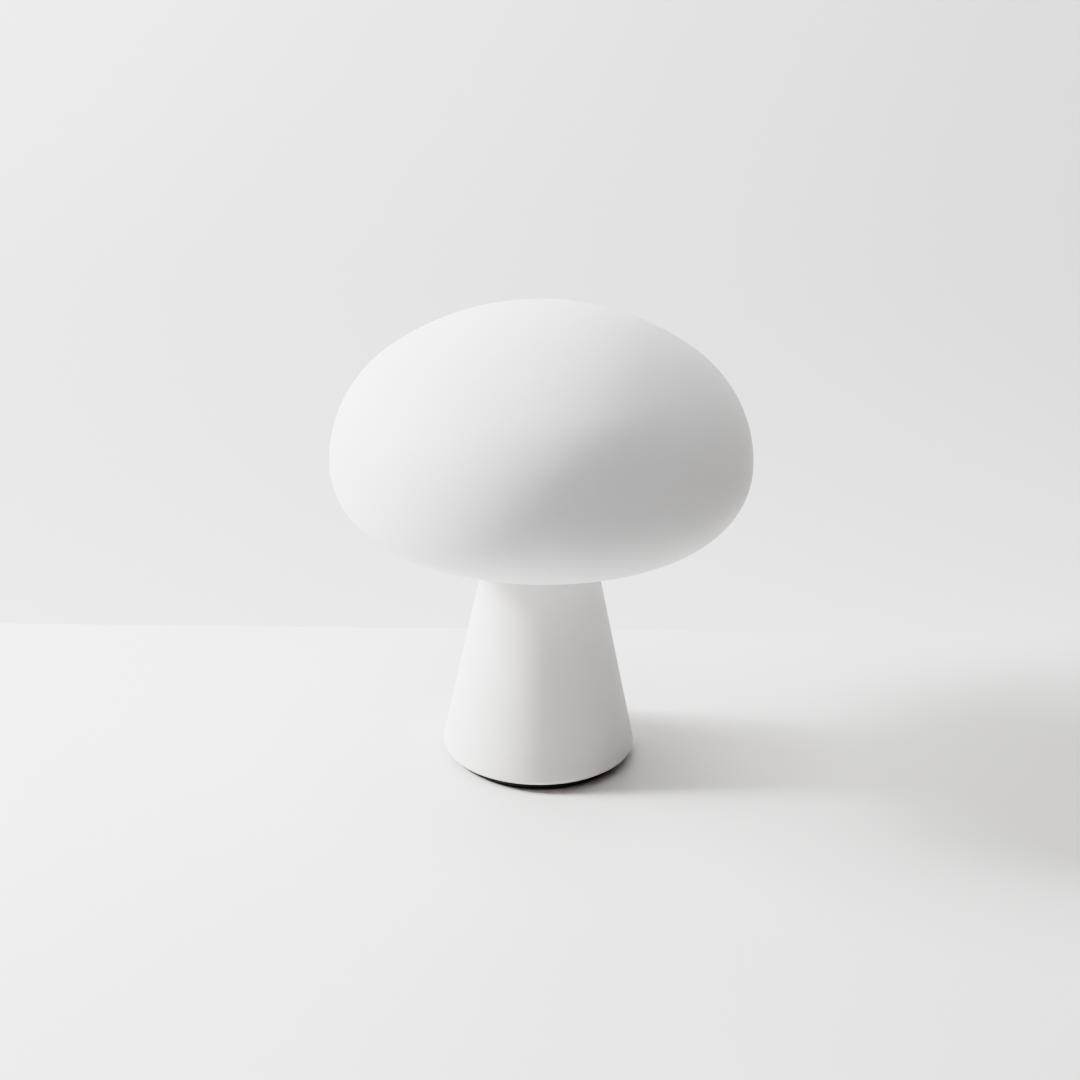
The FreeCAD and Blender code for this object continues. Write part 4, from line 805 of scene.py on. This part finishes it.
# ------------------------------------------------------------------ shade
# One closed shell of opal white glass, blown into a mould and etched to a satin skin.
# Only its underside is open: a round hole ground flat that drops over the collar.
SHOULDER_ARC = 65.0 * MM
DOME_RISE = 80.0 * MM
SIDE_ARC = 36.0 * MM
UNDERSIDE_ARC = 150.0 * MM
SHADE_FLAT = 27.0 * MM
SHADE_HOLE = 25.0 * MM
SHADE_WALL = 3.0 * MM
SHADE_RIM_ROUND = 0.6 * MM
SHADE_ARC_STEPS = 26
CROWN_ARC_STEPS = 30
RIM_ARC_STEPS = 8
SHADE_MILKINESS = 0.95
SHADE_LIGHT_DEPTH = 9 * MM
# The lampshade's two whites are painted paler than the cone's, though both are one opal glass.
# This is painted light, lifting the lampshade's shaded middle and flank.
LAMPSHADE_WHITE_PAINTED_LIGHT = (0.925, 0.910, 0.900)
LAMPSHADE_CLOUD_PAINTED_LIGHT = (0.910, 0.893, 0.882)

shade_low, shade_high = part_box("shade")
shade_radius = shade_high.x
equator = shade_high.z - DOME_RISE
shoulder_centre = Vector((shade_radius - SHOULDER_ARC, equator))
crown_arc = (shade_radius**2 + DOME_RISE**2 - 2 * shade_radius * SHOULDER_ARC) / (
    2 * (DOME_RISE - SHOULDER_ARC)
)
crown_centre = Vector((0.0, shade_high.z - crown_arc))
side_centre = Vector((shade_radius - SIDE_ARC, equator))
underside_centre = Vector((SHADE_FLAT, shade_low.z + UNDERSIDE_ARC))
under = side_centre - underside_centre
under_angle = math.atan2(under.y, under.x)
shoulder = shoulder_centre - crown_centre
shoulder_angle = math.atan2(shoulder.y, shoulder.x)


def bow(centre, radius, start, end, steps):
    """Points along an arc, but for its first."""
    points = []
    for i in range(1, steps + 1):
        angle = start + (end - start) * i / steps
        points.append(centre + Vector((math.cos(angle), math.sin(angle))) * radius)
    return points


def shade_skin(inset):
    """The shade's skin from its ground flat, up over the side, to the crown."""
    skin = [Vector((SHADE_FLAT, shade_low.z + inset))]
    for centre, radius, start, end, steps in (
        (underside_centre, UNDERSIDE_ARC, -math.pi / 2, under_angle, SHADE_ARC_STEPS),
        (side_centre, SIDE_ARC, under_angle, 0.0, SHADE_ARC_STEPS),
        (shoulder_centre, SHOULDER_ARC, 0.0, shoulder_angle, SHADE_ARC_STEPS),
        (crown_centre, crown_arc, shoulder_angle, math.pi / 2, CROWN_ARC_STEPS),
    ):
        skin += bow(centre, radius - inset, start, end, steps)
    skin[-1].x = 0.0
    return skin


hole_rim = rounded_outline(
    [
        (SHADE_FLAT, shade_low.z + SHADE_WALL, 0.0),
        (SHADE_HOLE, shade_low.z + SHADE_WALL, SHADE_RIM_ROUND),
        (SHADE_HOLE, shade_low.z, SHADE_RIM_ROUND),
        (SHADE_FLAT, shade_low.z, 0.0),
    ],
    steps=RIM_ARC_STEPS,
)[1:-1]
shade_glass = opal_glass(
    "shade_opal_glass_painted_light", LAMPSHADE_WHITE_PAINTED_LIGHT, LAMPSHADE_CLOUD_PAINTED_LIGHT, SHADE_MILKINESS, SHADE_LIGHT_DEPTH
)
shade = turned(
    "shade_glass",
    shade_skin(0.0) + shade_skin(SHADE_WALL)[::-1] + hole_rim,
    shade_glass,
)
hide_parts("shade")
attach(shade, "shade")


# ------------------------------------------------------------------ table and wall
# The lamp stands near the far edge of a smooth white table, before a plain white wall.
# Seen from behind or below, each of them is clear, so that they never hide the lamp.
TABLE_EDGE = 153.5 * MM
TABLE_REACH = 14.0
WALL_AWAY = 0.9
WALL_REACH = 3.0
TABLE_WHITE = (0.805, 0.802, 0.795)
TABLE_GREY = (0.785, 0.782, 0.775)
WALL_WHITE = (0.93, 0.93, 0.93)
WALL_GREY = (0.915, 0.915, 0.915)


def one_sided(finish):
    """Clears the back of a finish's faces."""
    behind = finish.node("ShaderNodeNewGeometry", result="Backfacing")
    clear = finish.tree.nodes.new("ShaderNodeBsdfTransparent")
    choice = finish.tree.nodes.new("ShaderNodeMixShader")
    finish.fill(choice.inputs[0], behind)
    finish.tree.links.new(finish.shader.outputs[0], choice.inputs[1])
    finish.tree.links.new(clear.outputs[0], choice.inputs[2])
    finish.tree.links.new(choice.outputs[0], finish.output.inputs[0])


def stage_sheet(name, corners, finish):
    mesh = bpy.data.meshes.new(name)
    mesh.from_pydata(corners, [], [(0, 1, 2, 3)])
    mesh.materials.append(finish.material)
    sheet = bpy.data.objects.new(name, mesh)
    bpy.context.scene.collection.objects.link(sheet)


table_top = Finish("table_lacquer", Specular_IOR_Level=0.4)
table_top.colour(table_top.mix(table_top.noise(0.12, 3.0), TABLE_GREY, TABLE_WHITE))
table_top.roughness(table_top.noise(0.05, 3.0) * 0.1 + 0.42)
table_top.relief(table_top.noise(3 * MM), 0.01 * MM)
one_sided(table_top)
stage_sheet(
    "table",
    [
        (-TABLE_REACH, -TABLE_REACH, 0.0),
        (TABLE_REACH, -TABLE_REACH, 0.0),
        (TABLE_REACH, TABLE_EDGE, 0.0),
        (-TABLE_REACH, TABLE_EDGE, 0.0),
    ],
    table_top,
)

wall_paint = Finish("wall_paint", Specular_IOR_Level=0.2)
wall_paint.colour(wall_paint.mix(wall_paint.noise(0.2, 3.0), WALL_GREY, WALL_WHITE))
wall_paint.roughness(wall_paint.noise(0.02) * 0.1 + 0.75)
wall_paint.relief(wall_paint.noise(4 * MM), 0.02 * MM)
one_sided(wall_paint)
stage_sheet(
    "wall",
    [
        (-WALL_REACH, WALL_AWAY, -WALL_REACH),
        (WALL_REACH, WALL_AWAY, -WALL_REACH),
        (WALL_REACH, WALL_AWAY, WALL_REACH),
        (-WALL_REACH, WALL_AWAY, WALL_REACH),
    ],
    wall_paint,
)


# ------------------------------------------------------------------ light
# Daylight from a window at the left, a little behind the lamp, under a soft ceiling light.
# A strip behind the table washes the wall, and a faint warm return comes from the right.
def soft_light(name, place, target, size, watts, colour):
    lamp = bpy.data.lights.new(name, "AREA")
    lamp.shape = "RECTANGLE"
    lamp.size, lamp.size_y = size
    lamp.energy = watts
    lamp.color = colour
    light = bpy.data.objects.new(name, lamp)
    light.location = place
    light.rotation_euler = (Vector(target) - Vector(place)).to_track_quat("-Z", "Y").to_euler()
    bpy.context.scene.collection.objects.link(light)


WHITE_LIGHT = (1.0, 1.0, 1.0)
WARM_LIGHT = (1.0, 0.8, 0.7)
LAMP_MIDDLE = (0.0, 0.0, 0.1)
ROOM_TINT = (1.0, 0.93, 0.89, 1.0)
ROOM_FILL = 0.1
soft_light("window", (-1.48, 0.21, 1.1), LAMP_MIDDLE, (0.6, 0.6), 33.0, WHITE_LIGHT)
soft_light("window_gap", (-1.6, 0.08, 0.92), LAMP_MIDDLE, (0.25, 0.25), 23.0, WHITE_LIGHT)
soft_light("ceiling", (0.0, -0.1, 1.89), LAMP_MIDDLE, (1.0, 1.0), 12.5, WHITE_LIGHT)
soft_light("front_fill", (-0.45, -0.78, 1.66), LAMP_MIDDLE, (1.0, 1.0), 2.2, WHITE_LIGHT)
soft_light("return", (1.63, 0.0, 0.45), LAMP_MIDDLE, (0.8, 0.8), 0.6, WARM_LIGHT)
soft_light("wall_wash", (0.0, 0.45, -0.9), (0.0, 0.9, 0.0), (3.0, 0.4), 18.0, WHITE_LIGHT)

room = bpy.data.worlds.new("room")
room.use_nodes = True
room_light = room.node_tree.nodes["Background"].inputs
room_light["Color"].default_value = ROOM_TINT
room_light["Strength"].default_value = ROOM_FILL
bpy.context.scene.world = room

render = bpy.context.scene
render.view_settings.view_transform = "Filmic"
render.view_settings.look = "Very High Contrast"
render.cycles.use_denoising = True
render.cycles.diffuse_bounces = 6


# ------------------------------------------------------------------ camera
# A short telephoto, looking down at the lamp by a little over 22 degrees.
CAMERA_AWAY = 1188.98 * MM
CAMERA_AIM = Vector((-0.319, 0.0, 123.767)) * MM
CAMERA_DOWN = math.radians(22.726)
CAMERA_ROLL = math.radians(0.633)

ahead = Vector((0.0, math.cos(CAMERA_DOWN), -math.sin(CAMERA_DOWN)))
above = Vector((0.0, math.sin(CAMERA_DOWN), math.cos(CAMERA_DOWN)))
aside = Vector((1.0, 0.0, 0.0))
across = aside * math.cos(CAMERA_ROLL) + above * math.sin(CAMERA_ROLL)
upwards = above * math.cos(CAMERA_ROLL) - aside * math.sin(CAMERA_ROLL)

lens = bpy.data.cameras.new("camera")
lens.lens = 75.0
lens.sensor_width = 36.0
lens.clip_end = 100.0
camera = bpy.data.objects.new("camera", lens)
turn = Matrix((across, upwards, -ahead)).transposed()
camera.matrix_world = Matrix.Translation(CAMERA_AIM - ahead * CAMERA_AWAY) @ turn.to_4x4()
bpy.context.scene.collection.objects.link(camera)
bpy.context.scene.camera = camera
